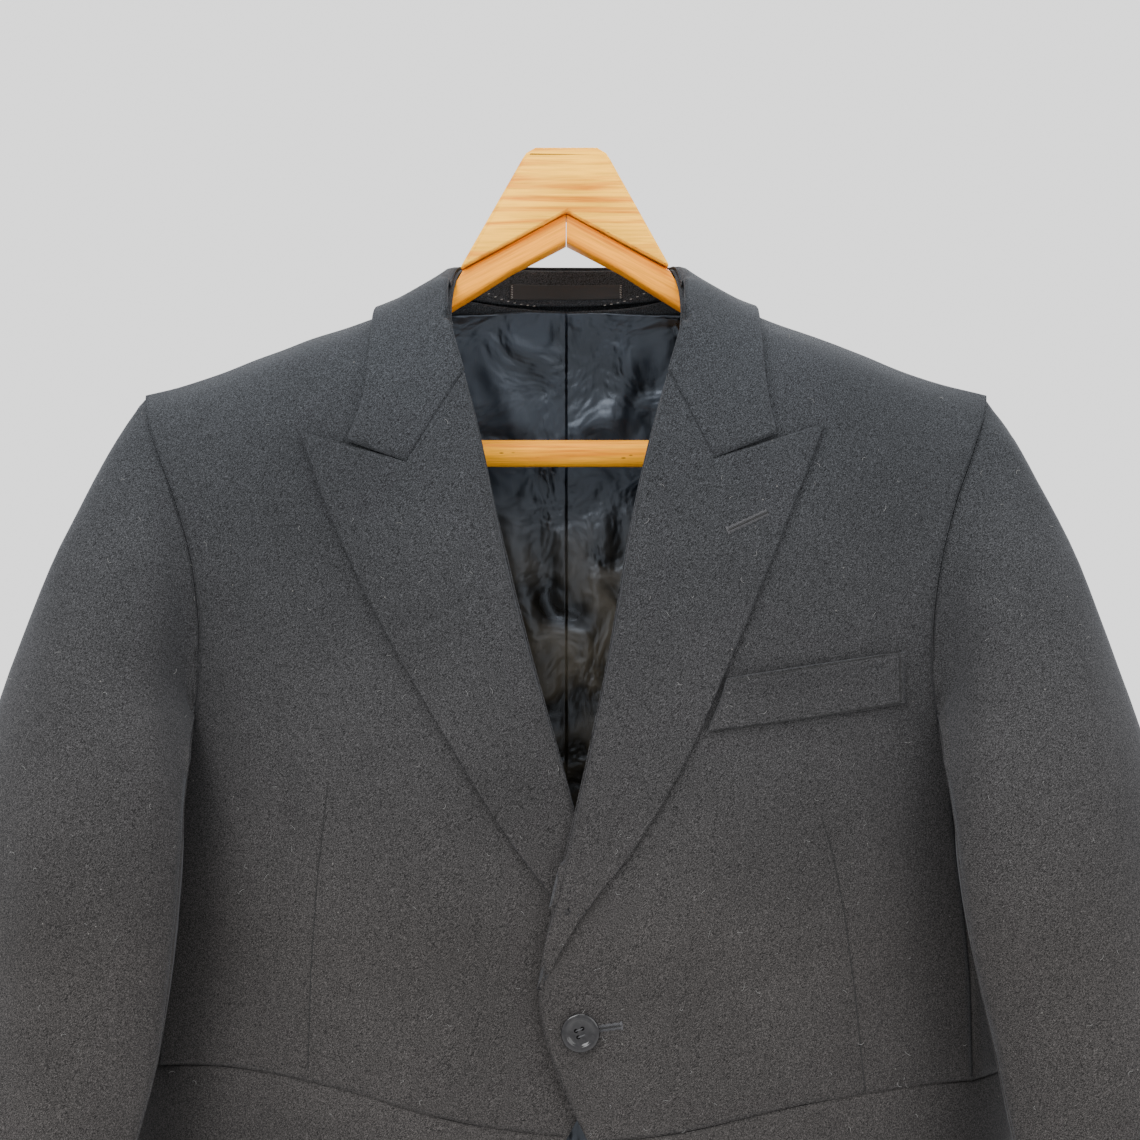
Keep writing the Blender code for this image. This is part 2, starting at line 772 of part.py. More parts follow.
def across_back(right, left):
    """Two halves joined at centre back, from the left front round to the right front."""
    return np.concatenate([right[:, ::-1], left[:, 1:]], 1)[:, ::-1]


def add_collar(collection):
    """The fall over the shoulders and the stand inside it. Gives the stand's net."""
    falls = {}
    stands = {}
    for side in SIDES:
        seam, fold, edge = collar_lines(side)
        gorge = path([fold[-1, ::2], NOTCH[side]], GORGE_STEPS)
        end = chain(gorge, path([NOTCH[side], edge[-1, ::2]], POINT_STEPS))
        end = front_point(side, end[:, 0], end[:, 1]) - [0, LAYER, 0]
        fold[-1] = end[0]
        edge[-1] = end[-1]
        share = (lengths(end) / lengths(end)[-1])[:, None, None]
        fall = fold[None] + share * (edge - fold)[None]
        bend = end - fall[:, -1]
        near_end = np.linspace(0, 1, COLLAR_STEPS + 1) ** END_BEND
        fall += bend[:, None] * near_end[None, :, None]
        falls[side] = placed(side, over_body(side, fall))
        inwards = (STAND_AXIS - fold) * [1, 1, 0]
        inwards *= STAND_INWARDS / np.linalg.norm(inwards, axis=1)[:, None]
        top = fold + inwards - [0, 0, STAND_DROP]
        height = np.linalg.norm(top - seam, axis=1)[:, None]
        seam = seam + STAND_LIFT / height * (top - seam)
        rows = [seam + share * (top - seam) for share in np.linspace(1, 0, STAND_STEPS + 1)]
        stands[side] = placed(side, np.array(rows)[:, : COLLAR_STEPS - STAND_SHORT])
    fall = across_back(falls["right"], falls["left"])
    stand = across_back(stands["right"], stands["left"])
    sheet("collar_fall", trimmed(fall, SEAM_GAP), CLOTH, "wool", collection)
    sheet("collar_stand", trimmed(stand, SEAM_GAP), CLOTH, "wool", collection)
    return stand


def at_column(line, x):
    """The point of a line of points, in order of X, at one X."""
    return np.array([np.interp(x, line[:, 0], line[:, k]) for k in range(3)])


def add_label(stand, collection):
    """A blank woven label on the inside of the stand, from the stand's own points."""
    half = LABEL_SIZE[0] / 2
    columns = stand[0, :, 0]
    inside = np.abs(columns) < half
    places = np.sort(np.concatenate([columns[inside], [-half, half]]))
    rising = np.argsort(columns)
    rows = []
    for height in LABEL_MIDDLE + LABEL_SIZE[1] * np.array([0.5, -0.5]):
        row = []
        for x in places:
            low = at_column(stand[-1][rising], x)
            high = at_column(stand[0][rising], x)
            row.append(low + (high - low) * (height - low[2]) / (high[2] - low[2]))
        rows.append(np.array(row) - [0, CLOTH + LABEL_GAP + LABEL_THICKNESS, 0])
    sheet("neck_label", np.array(rows), LABEL_THICKNESS, "tape", collection)


def add_welt(collection):
    """The welt of the breast pocket lies on the left front."""
    corners = {name: np.array(place, float) for name, place in WELT.items()}
    across = np.linspace(0, 1, WELT_COLUMNS + 1)[:, None]
    top = corners["top_in"] + across * (corners["top_out"] - corners["top_in"])
    low = corners["low_in"] + across * (corners["low_out"] - corners["low_in"])
    flat = np.linspace(top, low, WELT_ROWS + 1)
    net = raised(front_point("left", flat[..., 0], flat[..., 1]), LAYER)
    sheet("breast_welt", net, CLOTH, "wool", collection)


def turned(name, profile, steps, colour, collection):
    """A solid turned about its own Z from radii and heights, listed down its outer side."""
    mesh = bpy.data.meshes.new(name)
    points = [(radius * MM, 0, height * MM) for radius, height in profile]
    mesh.from_pydata(points, [(i, i + 1) for i in range(len(points) - 1)], [])
    made = add_object(name, mesh, colour, collection)
    screw = made.modifiers.new("turn", "SCREW")
    screw.axis = "Z"
    screw.steps = steps
    screw.render_steps = steps
    screw.use_merge_vertices = True
    screw.merge_threshold = 0.00001
    screw.use_smooth_shade = True
    return made


def button_profile(radius, thickness):
    """From the middle of the dished face over the rim to the flat back."""
    return [
        (0, 0.72 * thickness),
        (0.62 * radius, 0.7 * thickness),
        (0.74 * radius, 0.96 * thickness),
        (0.86 * radius, thickness),
        (0.96 * radius, 0.86 * thickness),
        (radius, 0.6 * thickness),
        (0.9 * radius, 0.12 * thickness),
        (0.7 * radius, 0),
        (0, 0),
    ]


def add_buttons(collection, cutters):
    """The front button with its four holes, and the two at the back of the waist."""
    profile = button_profile(BUTTON_RADIUS, BUTTON_THICKNESS)
    front = turned("front_button", profile, 18, "horn", collection)
    x, y, z = front_point("left", *BUTTON_CENTRE)
    front.location = np.array([x, y - LAYER_GAP, z]) * MM
    front.rotation_euler = (math.pi / 2, 0, 0)
    for quarter in range(4):
        angle = BUTTON_TILT + math.pi / 4 + quarter * math.pi / 2
        bpy.ops.mesh.primitive_cylinder_add(
            vertices=10, radius=BUTTON_HOLE * MM, depth=4 * BUTTON_THICKNESS * MM
        )
        cutter = bpy.context.object
        cutter.name = f"button_hole_{quarter + 1}"
        offset = np.array([math.cos(angle), 0, math.sin(angle)]) * BUTTON_HOLE_SPREAD
        cutter.location = (np.array([x, y, z]) + offset) * MM
        cutter.rotation_euler = (math.pi / 2, 0, 0)
        cutter.hide_render = True
        cutter.display_type = "WIRE"
        for holder in cutter.users_collection:
            holder.objects.unlink(cutter)
        cutters.objects.link(cutter)
        hole = front.modifiers.new(cutter.name, "BOOLEAN")
        hole.operation = "DIFFERENCE"
        hole.object = cutter
    for side in SIDES:
        profile = button_profile(WAIST_BUTTON_RADIUS, BUTTON_THICKNESS)
        button = turned("waist_button_" + side, profile, 12, "horn", collection)
        x, y, z = back_point(*WAIST_BUTTON_CENTRE)
        button.location = np.array([SIDES[side] * x, y + LAYER_GAP, z]) * MM
        button.rotation_euler = (-math.pi / 2, 0, 0)


def add_head(collection):
    """The head board of the hanger, sawn to an outline with soft edges."""
    curve = bpy.data.curves.new("hanger_head", "CURVE")
    curve.dimensions = "2D"
    curve.fill_mode = "BOTH"
    curve.extrude = BOARD / 2 * MM
    outline = curve.splines.new("POLY")
    outline.points.add(len(HEAD_OUTLINE) - 1)
    for point, (x, z) in zip(outline.points, HEAD_OUTLINE):
        point.co = (x * MM, z * MM, 0, 1)
    outline.use_cyclic_u = True
    curve.materials.append(material("pine"))
    head = bpy.data.objects.new("hanger_head", curve)
    collection.objects.link(head)
    head.location = (0, -BOARD / 2 * MM, 0)
    head.rotation_euler = (math.pi / 2, 0, 0)
    joined = head.modifiers.new("caps", "WELD")
    joined.merge_threshold = 0.00001
    edges = head.modifiers.new("edges", "BEVEL")
    edges.width = HEAD_BEVEL * MM
    edges.segments = 2
    edges.angle_limit = math.radians(50)


def arm_ring(top, bottom, rounding):
    """A section of an arm, as Y and Z: its top corners rounded, its lower ones eased."""
    points = []
    for corner_y, inward, corner_z, downward, radius, start in (
        (ARM_FRONT, 1, top, -1, rounding, 180),
        (ARM_BACK, -1, top, -1, rounding, 90),
        (ARM_BACK, -1, bottom, 1, ARM_EASE, 0),
        (ARM_FRONT, 1, bottom, 1, ARM_EASE, -90),
    ):
        for step in range(CORNER_STEPS + 1):
            angle = math.radians(start - 90 * step / CORNER_STEPS)
            y = corner_y + inward * radius + radius * math.cos(angle)
            points.append((y, corner_z + downward * radius + radius * math.sin(angle)))
    return np.array(points)


def add_arm(side, collection):
    """An arm of the hanger, lofted from the mitre at the neck to its deep end."""
    shape = bmesh.new()
    rings = []
    for x, top, bottom, rounding in zip(*(ARMS[name] for name in ("x", "top", "bottom", "round"))):
        ring = arm_ring(top, bottom, rounding)
        rings.append([shape.verts.new(np.array([SIDES[side] * x, y, z]) * MM) for y, z in ring])
    for near, far in zip(rings, rings[1:]):
        for k in range(len(near)):
            shape.faces.new((near[k - 1], near[k], far[k], far[k - 1]))
    shape.faces.new(rings[0])
    shape.faces.new(rings[-1])
    bmesh.ops.recalc_face_normals(shape, faces=shape.faces)
    mesh = bpy.data.meshes.new("hanger_arm_" + side)
    shape.to_mesh(mesh)
    shape.free()
    add_object("hanger_arm_" + side, mesh, "pine", collection)


def add_bar(collection):
    bpy.ops.mesh.primitive_cylinder_add(
        vertices=24, radius=BAR_RADIUS * MM, depth=2 * BAR_HALF_LENGTH * MM
    )
    bar = bpy.context.object
    bar.name = "trouser_bar"
    bar.location = (0, -BOARD / 2 * MM, BAR_HEIGHT * MM)
    bar.rotation_euler = (0, math.pi / 2, 0)
    bar.data.materials.append(material("pine"))
    bar.data.shade_smooth()
    bar.data.set_sharp_from_angle(angle=math.radians(40))
    for holder in bar.users_collection:
        holder.objects.unlink(bar)
    collection.objects.link(bar)


def main():
    for old in list(bpy.data.objects):
        bpy.data.objects.remove(old)
    coat = bpy.data.collections.new("morning_coat")
    cutters = bpy.data.collections.new("cutters")
    bpy.context.scene.collection.children.link(coat)
    bpy.context.scene.collection.children.link(cutters)
    nets = body_nets()
    offsets = shared_normals(nets)
    add_body(nets, offsets, coat)
    add_lining(nets, offsets, coat)
    add_lapels(coat)
    stand = add_collar(coat)
    add_label(stand, coat)
    add_welt(coat)
    add_buttons(coat, cutters)
    add_head(coat)
    for side in SIDES:
        add_arm(side, coat)
    add_bar(coat)


main()
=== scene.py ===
"""A morning coat on a pine hanger: wool with seams, rolls and creases, a satin
lining, horn buttons and sewn buttonholes.

Sizes are in millimetres unless said, and MM turns them to metres. X runs to the
wearer's left, the coat faces -Y and Z is up. A fold or a line is given as places
of X and Z.
"""

import math

import bmesh
import bpy
import numpy as np
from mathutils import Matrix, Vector, noise
from mathutils.bvhtree import BVHTree
from mathutils.kdtree import KDTree


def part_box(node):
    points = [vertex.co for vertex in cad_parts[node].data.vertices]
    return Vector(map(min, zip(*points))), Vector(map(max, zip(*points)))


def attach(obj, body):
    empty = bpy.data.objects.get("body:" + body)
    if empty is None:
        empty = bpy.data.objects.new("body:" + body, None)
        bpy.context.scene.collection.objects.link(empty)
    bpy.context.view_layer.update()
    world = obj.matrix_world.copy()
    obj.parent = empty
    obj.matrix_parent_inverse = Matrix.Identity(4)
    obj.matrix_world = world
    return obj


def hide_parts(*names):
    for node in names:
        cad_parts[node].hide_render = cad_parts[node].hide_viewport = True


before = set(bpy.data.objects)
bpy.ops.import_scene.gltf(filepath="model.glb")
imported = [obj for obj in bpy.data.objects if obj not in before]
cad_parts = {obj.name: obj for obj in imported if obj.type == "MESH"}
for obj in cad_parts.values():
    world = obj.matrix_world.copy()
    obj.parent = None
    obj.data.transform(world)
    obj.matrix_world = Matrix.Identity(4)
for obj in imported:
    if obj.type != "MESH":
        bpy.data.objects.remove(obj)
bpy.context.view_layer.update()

MM = 0.001
SIDES = {"right": -1, "left": 1}
SAME_PLACE = 2e-6  # metres between points that are one
BELOW_ALL = -2000
FORWARDS = Vector((0, 1, 0))

# How the faces of a wall are told apart: the rim turns sharply away from the
# outer and the inner face, and is narrow.
OUTER, INNER, RIM = 0, 1, 2
SHARP = math.radians(38)
RIM_WIDTH = 3.0
MIDDLE_Y = -30

# How bent and how skewed two triangles may be, in radians, to be drawn as one quad.
QUAD_BEND = 0.9
QUAD_SKEW = 3.1

# How often each wall is subdivided.
LEVEL = 2
LEVELS = {"front": 3, "lapel": 3, "breast_welt": 3}

# The size each piece was cut to, as width, length and area in metres.
CUTS = {
    "back": (0.25, 1.02, 0.110),
    "back_lining": (0.245, 1.01, 0.1045),
    "breast_welt": (0.03, 0.115, 0.003),
    "collar_fall": (0.14, 0.46, 0.0233),
    "collar_stand": (0.04, 0.3, 0.0049),
    "front": (0.26, 0.47, 0.0895),
    "lapel": (0.13, 0.345, 0.0172),
    "neck_label": (0.01, 0.065, 0.00057),
    "side_body": (0.19, 0.28, 0.0348),
    "skirt": (0.42, 0.6, 0.192),
    "top_sleeve": (0.215, 0.61, 0.096),
    "under_sleeve": (0.165, 0.57, 0.0707),
}

# Creases and soft folds: the line each follows, how wide it is and how far it
# stands out.
FRONT_FOLDS = [
    ([(-92, -255), (-60, -238), (-28, -219)], 2.6, -0.7),
    ([(-88, -260), (-58, -243), (-30, -227)], 3.5, 0.45),
    ([(-14, -456), (-6, -453), (0, -451)], 2.0, -0.8),
    ([(20, -474), (38, -471), (57, -466)], 4.0, 0.9),
    ([(20, -480), (38, -477), (55, -473)], 3.5, -0.7),
    ([(-140, -296), (-138, -330), (-134, -366)], 8.0, 1.5),
    ([(-156, -300), (-153, -335), (-148, -370)], 9.0, -1.0),
    ([(66, -423), (105, -415), (155, -404)], 9.0, 1.1),
    ([(70, -440), (108, -434), (150, -428)], 8.0, -0.9),
    ([(150, -300), (156, -335), (160, -372)], 11.0, 1.2),
    ([(-186, -170), (-178, -220), (-180, -275)], 12.0, -1.6),
    ([(186, -165), (177, -215), (179, -275)], 12.0, -1.6),
    ([(-150, -110), (-120, -128), (-98, -140)], 12.0, -0.9),
    ([(150, -112), (122, -128), (100, -142)], 12.0, -0.9),
    ([(-60, -470), (-95, -462), (-130, -458)], 7.0, 0.7),
    ([(80, -264), (120, -256), (176, -249)], 5.0, -0.7),
]
SLEEVE_FOLDS = [
    ([(-262, -170), (-268, -240), (-262, -330)], 14.0, 1.6),
    ([(-236, -190), (-238, -260), (-232, -340)], 12.0, -1.6),
    ([(-295, -330), (-290, -400), (-300, -470)], 13.0, -1.4),
    ([(-250, -430), (-272, -452), (-300, -462)], 9.0, 1.6),
    ([(-248, -470), (-270, -492), (-305, -500)], 9.0, -1.4),
    ([(262, -175), (272, -250), (270, -340)], 13.0, 1.5),
    ([(238, -180), (240, -250), (236, -330)], 11.0, -1.5),
    ([(213, -236), (222, -227), (234, -216)], 7.0, -2.2),
    ([(216, -248), (226, -240), (238, -230)], 6.0, 1.2),
    ([(300, -320), (298, -400), (306, -470)], 12.0, -1.3),
    ([(256, -420), (276, -446), (306, -455)], 9.0, 1.5),
    ([(262, -560), (285, -575), (315, -580)], 12.0, 1.2),
    ([(-262, -570), (-288, -590), (-318, -592)], 12.0, 1.2),
]
BACK_FOLDS = [
    ([(-62, -104), (0, -112), (58, -106)], 10.0, -1.1),
    ([(-160, -170), (-148, -240), (-140, -320)], 14.0, 1.6),
    ([(165, -180), (150, -245), (146, -330)], 14.0, 1.4),
    ([(-110, -200), (-104, -270), (-96, -350)], 15.0, -1.1),
    ([(112, -210), (108, -280), (98, -340)], 15.0, -1.2),
    ([(-20, -420), (-50, -438), (-92, -446)], 8.0, -1.1),
    ([(16, -432), (54, -447), (96, -452)], 8.0, -1.0),
    ([(-24, -446), (-52, -462), (-80, -470)], 7.0, 0.8),
]
LINING_FOLDS = [
    ([(-52, -90), (-34, -118), (-22, -150)], 5.0, 2.6),
    ([(-44, -82), (-20, -96), (4, -104)], 4.5, 2.2),
    ([(46, -84), (30, -112), (26, -148)], 5.0, 2.4),
    ([(38, -120), (22, -132), (8, -140)], 4.0, 1.8),
    ([(-40, -170), (-26, -230), (-10, -290)], 5.5, 2.4),
    ([(-18, -165), (-14, -225), (4, -300)], 4.5, -1.4),
    ([(30, -170), (16, -230), (6, -310)], 5.0, 2.0),
    ([(-30, -240), (-8, -262), (12, -270)], 5.0, 1.8),
]
FOLD_FADE = 0.3  # the share of a fold's length over which it rises from each end

# Gentle unevenness of the cloth: the size of each wave, its seed and its height.
UNEVEN = ((60, 3, 0.9), (22, 9, 0.35))
SLEEVE_UNEVEN = (38, 5, 1.2)
SLEEVE_LONG = (1, 1, 0.45)
SLEEVE_BEHIND = 0.35  # the share of the sleeve's folds that goes right round it
RUMPLE = (26, 12, 2.2)
RUMPLE_LONG = (1.6, 1, 0.7)
RUMPLE_TOP = -70
RUMPLE_SPAN = 30

# How far cloth must turn to the front or the back to take the folds of that side.
TURN_START = 0.1
TURN_SPAN = 0.4

# The waves of the skirts and the tails: how high they are, where they start, over
# what length they grow, how they sway, as in UNEVEN, and the length of each.
SKIRT_WAVE = 3.2
SKIRT_TOP = -515
SKIRT_SPAN = 420
SKIRT_SWAY = (150, 2, 1.3)
SHORT_WAVE = 17
LONG_WAVE = 41
LONG_WAVE_START = 2
LONG_WAVE_SHARE = 0.6

# The seam of the sleeve, on the left side, and the dip of the sleeve along it.
ARMHOLE = [
    (235, -120), (230.5, -132), (216, -166), (203, -202), (197.5, -240), (198, -277), (207, -315),
]
ARMHOLE_OFFSET = 5
ARMHOLE_WIDTH = 9
ARMHOLE_DEPTH = 3.2

# The fullness of the coat's sides below the armholes and of the sleeves towards
# them. Each range is where the change starts and over what length it grows.
SIDE_FULLNESS = 15
SIDE_ACROSS = (150, 90)
SIDE_DOWN = (-330, 120)
SLEEVE_INWARDS = 15
SLEEVE_ACROSS = (264, 40)
SLEEVE_FRONT = (-44, 22)
SLEEVE_DOWN = (-268, 55)
SLEEVE_END = (-660, 210)

# The centre seam, closed down to the top of the vent, and the lap of the vent.
CENTRE_SEAM = 0.8
CENTRE_GAP = 0.03
CENTRE_END = -505
VENT_REACH = 14
VENT_DOWN = (-512, 50)
VENT_LAP = np.array([-4.5, 2.4, 0])

# The darts, each from its upper end down to the waist.
DARTS = {
    "right": [(-126.2, -331), (-132.4, -381), (-136.1, -432), (-137.7, -484)],
    "left": [(135.4, -347), (142.5, -370), (148.5, -400), (154.6, -442), (160.5, -496.5)],
}
DART_WIDTH = 3.2
DART_DEPTH = 0.5
FRONT_Y = -40

# The breast pocket: the seam round its welt, and the welt's upper edge, which
# stands away from the chest.
WELT_SEAM = [(87, -275.7), (178.2, -261.3), (179, -288.3), (78, -302)]
WELT_EDGE = [(74, -276), (182, -262)]
WELT_WIDTH = 7
WELT_HEIGHT = 2.2

# The fold of each lapel along its roll line, and the lapel's flattened lower end.
ROLL_LINES = {
    "right": [
        (-53.5, -112), (-41, -165), (-28, -225), (-15, -274), (2, -334), (16, -385), (29.9, -440),
    ],
    "left": [(53.5, -112), (36.6, -180), (24.4, -250), (12, -313), (-5, -385), (-16.7, -440)],
}
ROLL_WRAP = 3.2
ROLL_DROP = 2.6
ROLL_OUT = 1.0
ROLL_END = (-418, 20)
LAPEL_TIP = -398
LAPEL_END = (-412, 28)
LAPEL_DROP = 3.6

# The rounded borders: how wide they are, how far they dip to form a seam, and what
# share of that dip the lining's borders take.
EDGE_INSET = 1.0
EDGE_INSETS = {"lapel": 0.5, "neck_label": 0.3, "breast_welt": 0.7, "collar_fall": 0.7}
EDGE_DIP = 0.9
EDGE_DIPS = {"back_lining": 0, "neck_label": 0.1}
INNER_DIP = 0.5

# How borders are drawn together: how far they reach, by what share of the gap
# they move, and how far in the cloth moves with them.
TAIL_JOIN = (9, 0.95, 25)
SLEEVE_JOIN = (13, 0.93, 18)
COLLAR_JOIN = (8, 0.8, 5)
TAIL_HALF_WIDTH = 90
TAIL_HEM = -1058

# A thread: the places of its rings, from 0 at its start to 1 at its end, and their
# size as a share of its radius.
THREAD_RINGS = ((-0.5, 0.45), (0, 0.9), (0.5, 1), (1, 0.9), (1.5, 0.45))
THREAD_SIDES = 6

# The stitches of a buttonhole: how far apart they are, where the first one is, how
# far each reaches across, and how proud its two ends stand.
STITCH_PITCH = 0.62
STITCH_START = 0.3
STITCH_NEAR = 0.5
STITCH_FAR = 1.75
STITCH_WOBBLE = 0.18
STITCH_TURN = 5.1
STITCH_LIFTS = (0.42, 0.1)
STITCH_SIZE = 0.3
# The slit, drawn as near-black strands of painted shade: its parts, how proud it stands and its radius.
SLIT_PARTS = 4
SLIT_LIFT = 0.45
SLIT_SIZE = 0.42
BAR_PLACES = (-0.35, 0.25)
BAR_REACH = 2.1
BAR_LIFT = 0.35
BAR_SIZE = 0.38
LAPEL_HOLE = ((84.8, -196.7), (105.9, -187.1))
FRONT_HOLE = ((16, -458.6), (29.2, -456.9))

# The dark strands of painted shade along the darts and the welt seam: how far apart their points are,
# how proud they stand and their radius.
SEAM_STEP = 2.5
SEAM_LIFT = 0.1
SEAM_SIZE = 0.3

# The small stitches in the neck, in a row that rises to both ends, and those at
# the ends of the label: half of each stitch, how proud it stands and its radius.
PRICK_COUNT = 12
PRICK_PITCH = 3.7
PRICK_Z = -66.3
PRICK_RISE = 7
PRICK_SPREAD = 45
PRICK = (np.array([0.55, 0, 0.1]), 0.1, 0.24)
LABEL_COUNT = 8
LABEL_PITCH = 1
LABEL_MARGIN = 0.9
LABEL_STITCH = (np.array([0.5, 0, 0.15]), 0.08, 0.16)

# The places that rays start from, in front of the coat, in its neck, and far from
# either side of it.
AHEAD_Y = -200
NECK_Y = -40
FAR_Y = 300

# The lint: one fibre in LINT_TAILS may lie on the tails, and one in LINT_BEHIND
# lies behind.
LINT_SEED = 7
LINT_COUNT = 420
LINT_TAILS = 3
LINT_BEHIND = 4
LINT_ACROSS = 340
LINT_TOP = -90
LINT_BOTTOM = -520
LINT_HEM = -1040
LINT_CURL = 1.6
LINT_STEPS = (0.4, 1.0)
LINT_PARTS = 4
LINT_LIFT = 0.12
LINT_RISE = 0.08
LINT_SIZE = 0.075
LINT_SIDES = 4

# Half the section of a button, as shares of its radius and its thickness: the
# dished middle, the round of the rim, in degrees, and the back.
BUTTON_FACE = ((0, 0.62), (0.5, 0.6), (0.62, 0.66))
BUTTON_BACK = ((0.86, 0.06), (0.7, 0), (0, 0))
BUTTON_RIM = (0.83, 0.74)
BUTTON_ROUND = (0.17, 0.26)
ROUND_STEPS = 9
ROUND_START = 150
ROUND_TURN = 26
BUTTON_SIDES = 64
BUTTON_EDGE = math.radians(40)

# The four holes of a button, and the two pairs of threads through them.
HOLES = 4
HOLE_RADIUS = 1.08
HOLE_SIDES = 20
HOLE_DEPTH = 4
HOLE_PAIRS = ((0, 1), (2, 3))
THREAD_HEIGHT = 0.12
THREAD_SHIFTS = (-0.22, 0.22)
THREAD_LIFT = 0.05
BUTTON_THREAD = 0.24

# Each button: its radius, the turn of its holes, which way it faces, with 1 for
# forwards, and how far its holes lie from its middle.
BUTTONS = {
    "front_button": (10.2, math.radians(20), 1, 2.5),
    "waist_button_right": (9.5, -0.3, -1, 2.3),
    "waist_button_left": (9.5, 0.3, -1, 2.3),
}

# The hanger's wood, and how its edges are eased.
HANGER = {
    "hanger_head": "pine_head",
    "hanger_arm_right": "pine_right",
    "hanger_arm_left": "pine_left",
    "trouser_bar": "pine_bar",
}
FLAT = math.radians(0.5)
EASED_EDGE = 0.6
EASED_ANGLE = math.radians(40)
EASED_STEPS = 3

# The studio, in metres and watts. Each lamp has a place, an aim, a size and a power.
FLOOR_SIZE = 12
FLOOR_Z = -1.25
WORLD_STRENGTH = 1.7
LAMPS = {
    "key": ((-1.1, -2.2, 1.3), (0, 0, -0.3), 1.4, 60),
    "fill": ((1.6, -1.8, 0.4), (0, 0, -0.3), 1.6, 22),
    "top": ((0, -0.4, 1.6), (0, 0, -0.2), 1.2, 26),
    "back": ((0.4, 2.4, 1.0), (0, 0, -0.4), 1.8, 40),
}
CAMERA_PLACE = (0.0021, -1.135, -0.2175)
CAMERA_TURN = (math.pi / 2, 0, 0)
CAMERA_LENS = 63.16
CAMERA_SENSOR = 36

# The cloth that lint clings to, and the cloth that is lined.
LINTY = {"front", "lapel", "skirt", "top_sleeve", "back", "breast_welt"}
LINED = {"front", "side_body", "skirt", "top_sleeve", "under_sleeve"}

# The piece that each kind of cloth rests on. A name that ends in _ takes the
# piece's own side.
RESTS_ON = {
    "back": "hanger_arm_",
    "back_lining": "back_",
    "breast_welt": "front_left",
    "collar_fall": "collar_stand",
    "collar_stand": "back_left",
    "front": "hanger_arm_",
    "lapel": "front_",
    "neck_label": "collar_stand",
    "side_body": "front_",
    "skirt": "front_",
    "top_sleeve": "front_",
    "under_sleeve": "side_body_",
}


def ease(t):
    """A soft step from 0 to 1."""
    t = np.clip(t, 0, 1)
    return t * t * (3 - 2 * t)


def beyond(values, start, span):
    """How far values have passed a start, rising softly to 1 over a span."""
    return ease((values - start) / span)


def under(values, top, span):
    """How far values lie below a top, rising softly to 1 over a span."""
    return ease((top - values) / span)


def along(line, points):
    """How far each point lies from a line, and how far along the line, from 0 to 1."""
    line = np.array(line, float)
    nearest = np.full(len(points), 1e9)
    place = np.zeros(len(points))
    steps = np.linalg.norm(np.diff(line, axis=0), axis=1)
    total = steps.sum()
    run = 0
    for start, end, step in zip(line, line[1:], steps):
        share = np.clip((points - start) @ (end - start) / step**2, 0, 1)
        away = np.linalg.norm(points - start - share[:, None] * (end - start), axis=1)
        closer = away < nearest
        nearest[closer] = away[closer]
        place[closer] = (run + share[closer] * step) / total
        run += step
    return nearest, place


def folds(lines, points):
    """The height of soft folds at points of X and Z, each fading towards its ends."""
    height = np.zeros(len(points))
    for line, width, depth in lines:
        away, place = along(line, points)
        fading = ease(place / FOLD_FADE) * ease((1 - place) / FOLD_FADE)
        height += depth * fading * np.exp(-((away / width) ** 2))
    return height


def unevenness(points, size, seed):
    """Smooth noise between -1 and 1 over lengths of the given size."""
    return np.array([noise.noise(Vector(point / size) + Vector((seed, 0, 0))) for point in points])


def coat_form(kind, points, facing):
    """How far the cloth stands out from its solid at each point."""
    plan = points[:, [0, 2]]
    height = sum(depth * unevenness(points, size, seed) for size, seed, depth in UNEVEN)
    before = beyond(-facing[:, 1], TURN_START, TURN_SPAN)
    behind = beyond(facing[:, 1], TURN_START, TURN_SPAN)
    if kind in ("front", "lapel", "breast_welt", "collar_fall", "side_body"):
        height += before * folds(FRONT_FOLDS, plan)
    if kind in ("top_sleeve", "under_sleeve"):
        height += (SLEEVE_BEHIND + (1 - SLEEVE_BEHIND) * before) * folds(SLEEVE_FOLDS, plan)
        size, seed, depth = SLEEVE_UNEVEN
        height += depth * unevenness(points * SLEEVE_LONG, size, seed)
        away, _ = along(ARMHOLE, np.abs(plan) * [1, -1])
        height -= before * ARMHOLE_DEPTH * np.exp(-(((away - ARMHOLE_OFFSET) / ARMHOLE_WIDTH) ** 2))
    if kind in ("back", "side_body"):
        height += behind * folds(BACK_FOLDS, plan)
    if kind in ("skirt", "back", "back_lining"):
        size, seed, sway = SKIRT_SWAY
        wave = np.sin(points[:, 0] / SHORT_WAVE + sway * unevenness(points, size, seed))
        wave += LONG_WAVE_SHARE * np.sin(points[:, 0] / LONG_WAVE + LONG_WAVE_START)
        height += SKIRT_WAVE * under(points[:, 2], SKIRT_TOP, SKIRT_SPAN) * wave
    return height


def read_points(mesh):
    """A mesh's points in millimetres."""
    points = np.empty(len(mesh.vertices) * 3)
    mesh.vertices.foreach_get("co", points)
    return points.reshape(-1, 3) / MM


def write_points(mesh, points):
    mesh.vertices.foreach_set("co", (points * MM).ravel())
    mesh.update()


def groups_of(faces, joined):
    """Sorts faces into groups that meet across the edges that join them."""
    left = set(faces)
    found = []
    while left:
        start = left.pop()
        group = [start]
        waiting = [start]
        while waiting:
            for edge in waiting.pop().edges:
                if not joined(edge):
                    continue
                for face in edge.link_faces:
                    if face in left:
                        left.remove(face)
                        group.append(face)
                        waiting.append(face)
        found.append(group)
    return found


def mean_width(group):
    """The width of a strip of faces, from its area and the length of its outline."""
    inside = set(group)
    area = sum(face.calc_area() for face in group)
    edges = [edge for face in group for edge in face.edges if not inside.issuperset(edge.link_faces)]
    outline = sum(edge.calc_length() for edge in edges)
    return 2 * area / outline / MM


def outwardness(group, kind):
    """How much a group of faces looks out of the coat, or of the tube of a sleeve."""
    if "sleeve" in kind:
        return sum(face.calc_area() for face in group)
    total = 0
    for face in group:
        away = face.calc_center_median() - Vector((0, MIDDLE_Y, 0)) * MM
        total += face.calc_area() * face.normal.dot(Vector((away.x, away.y, 0)))
    return total


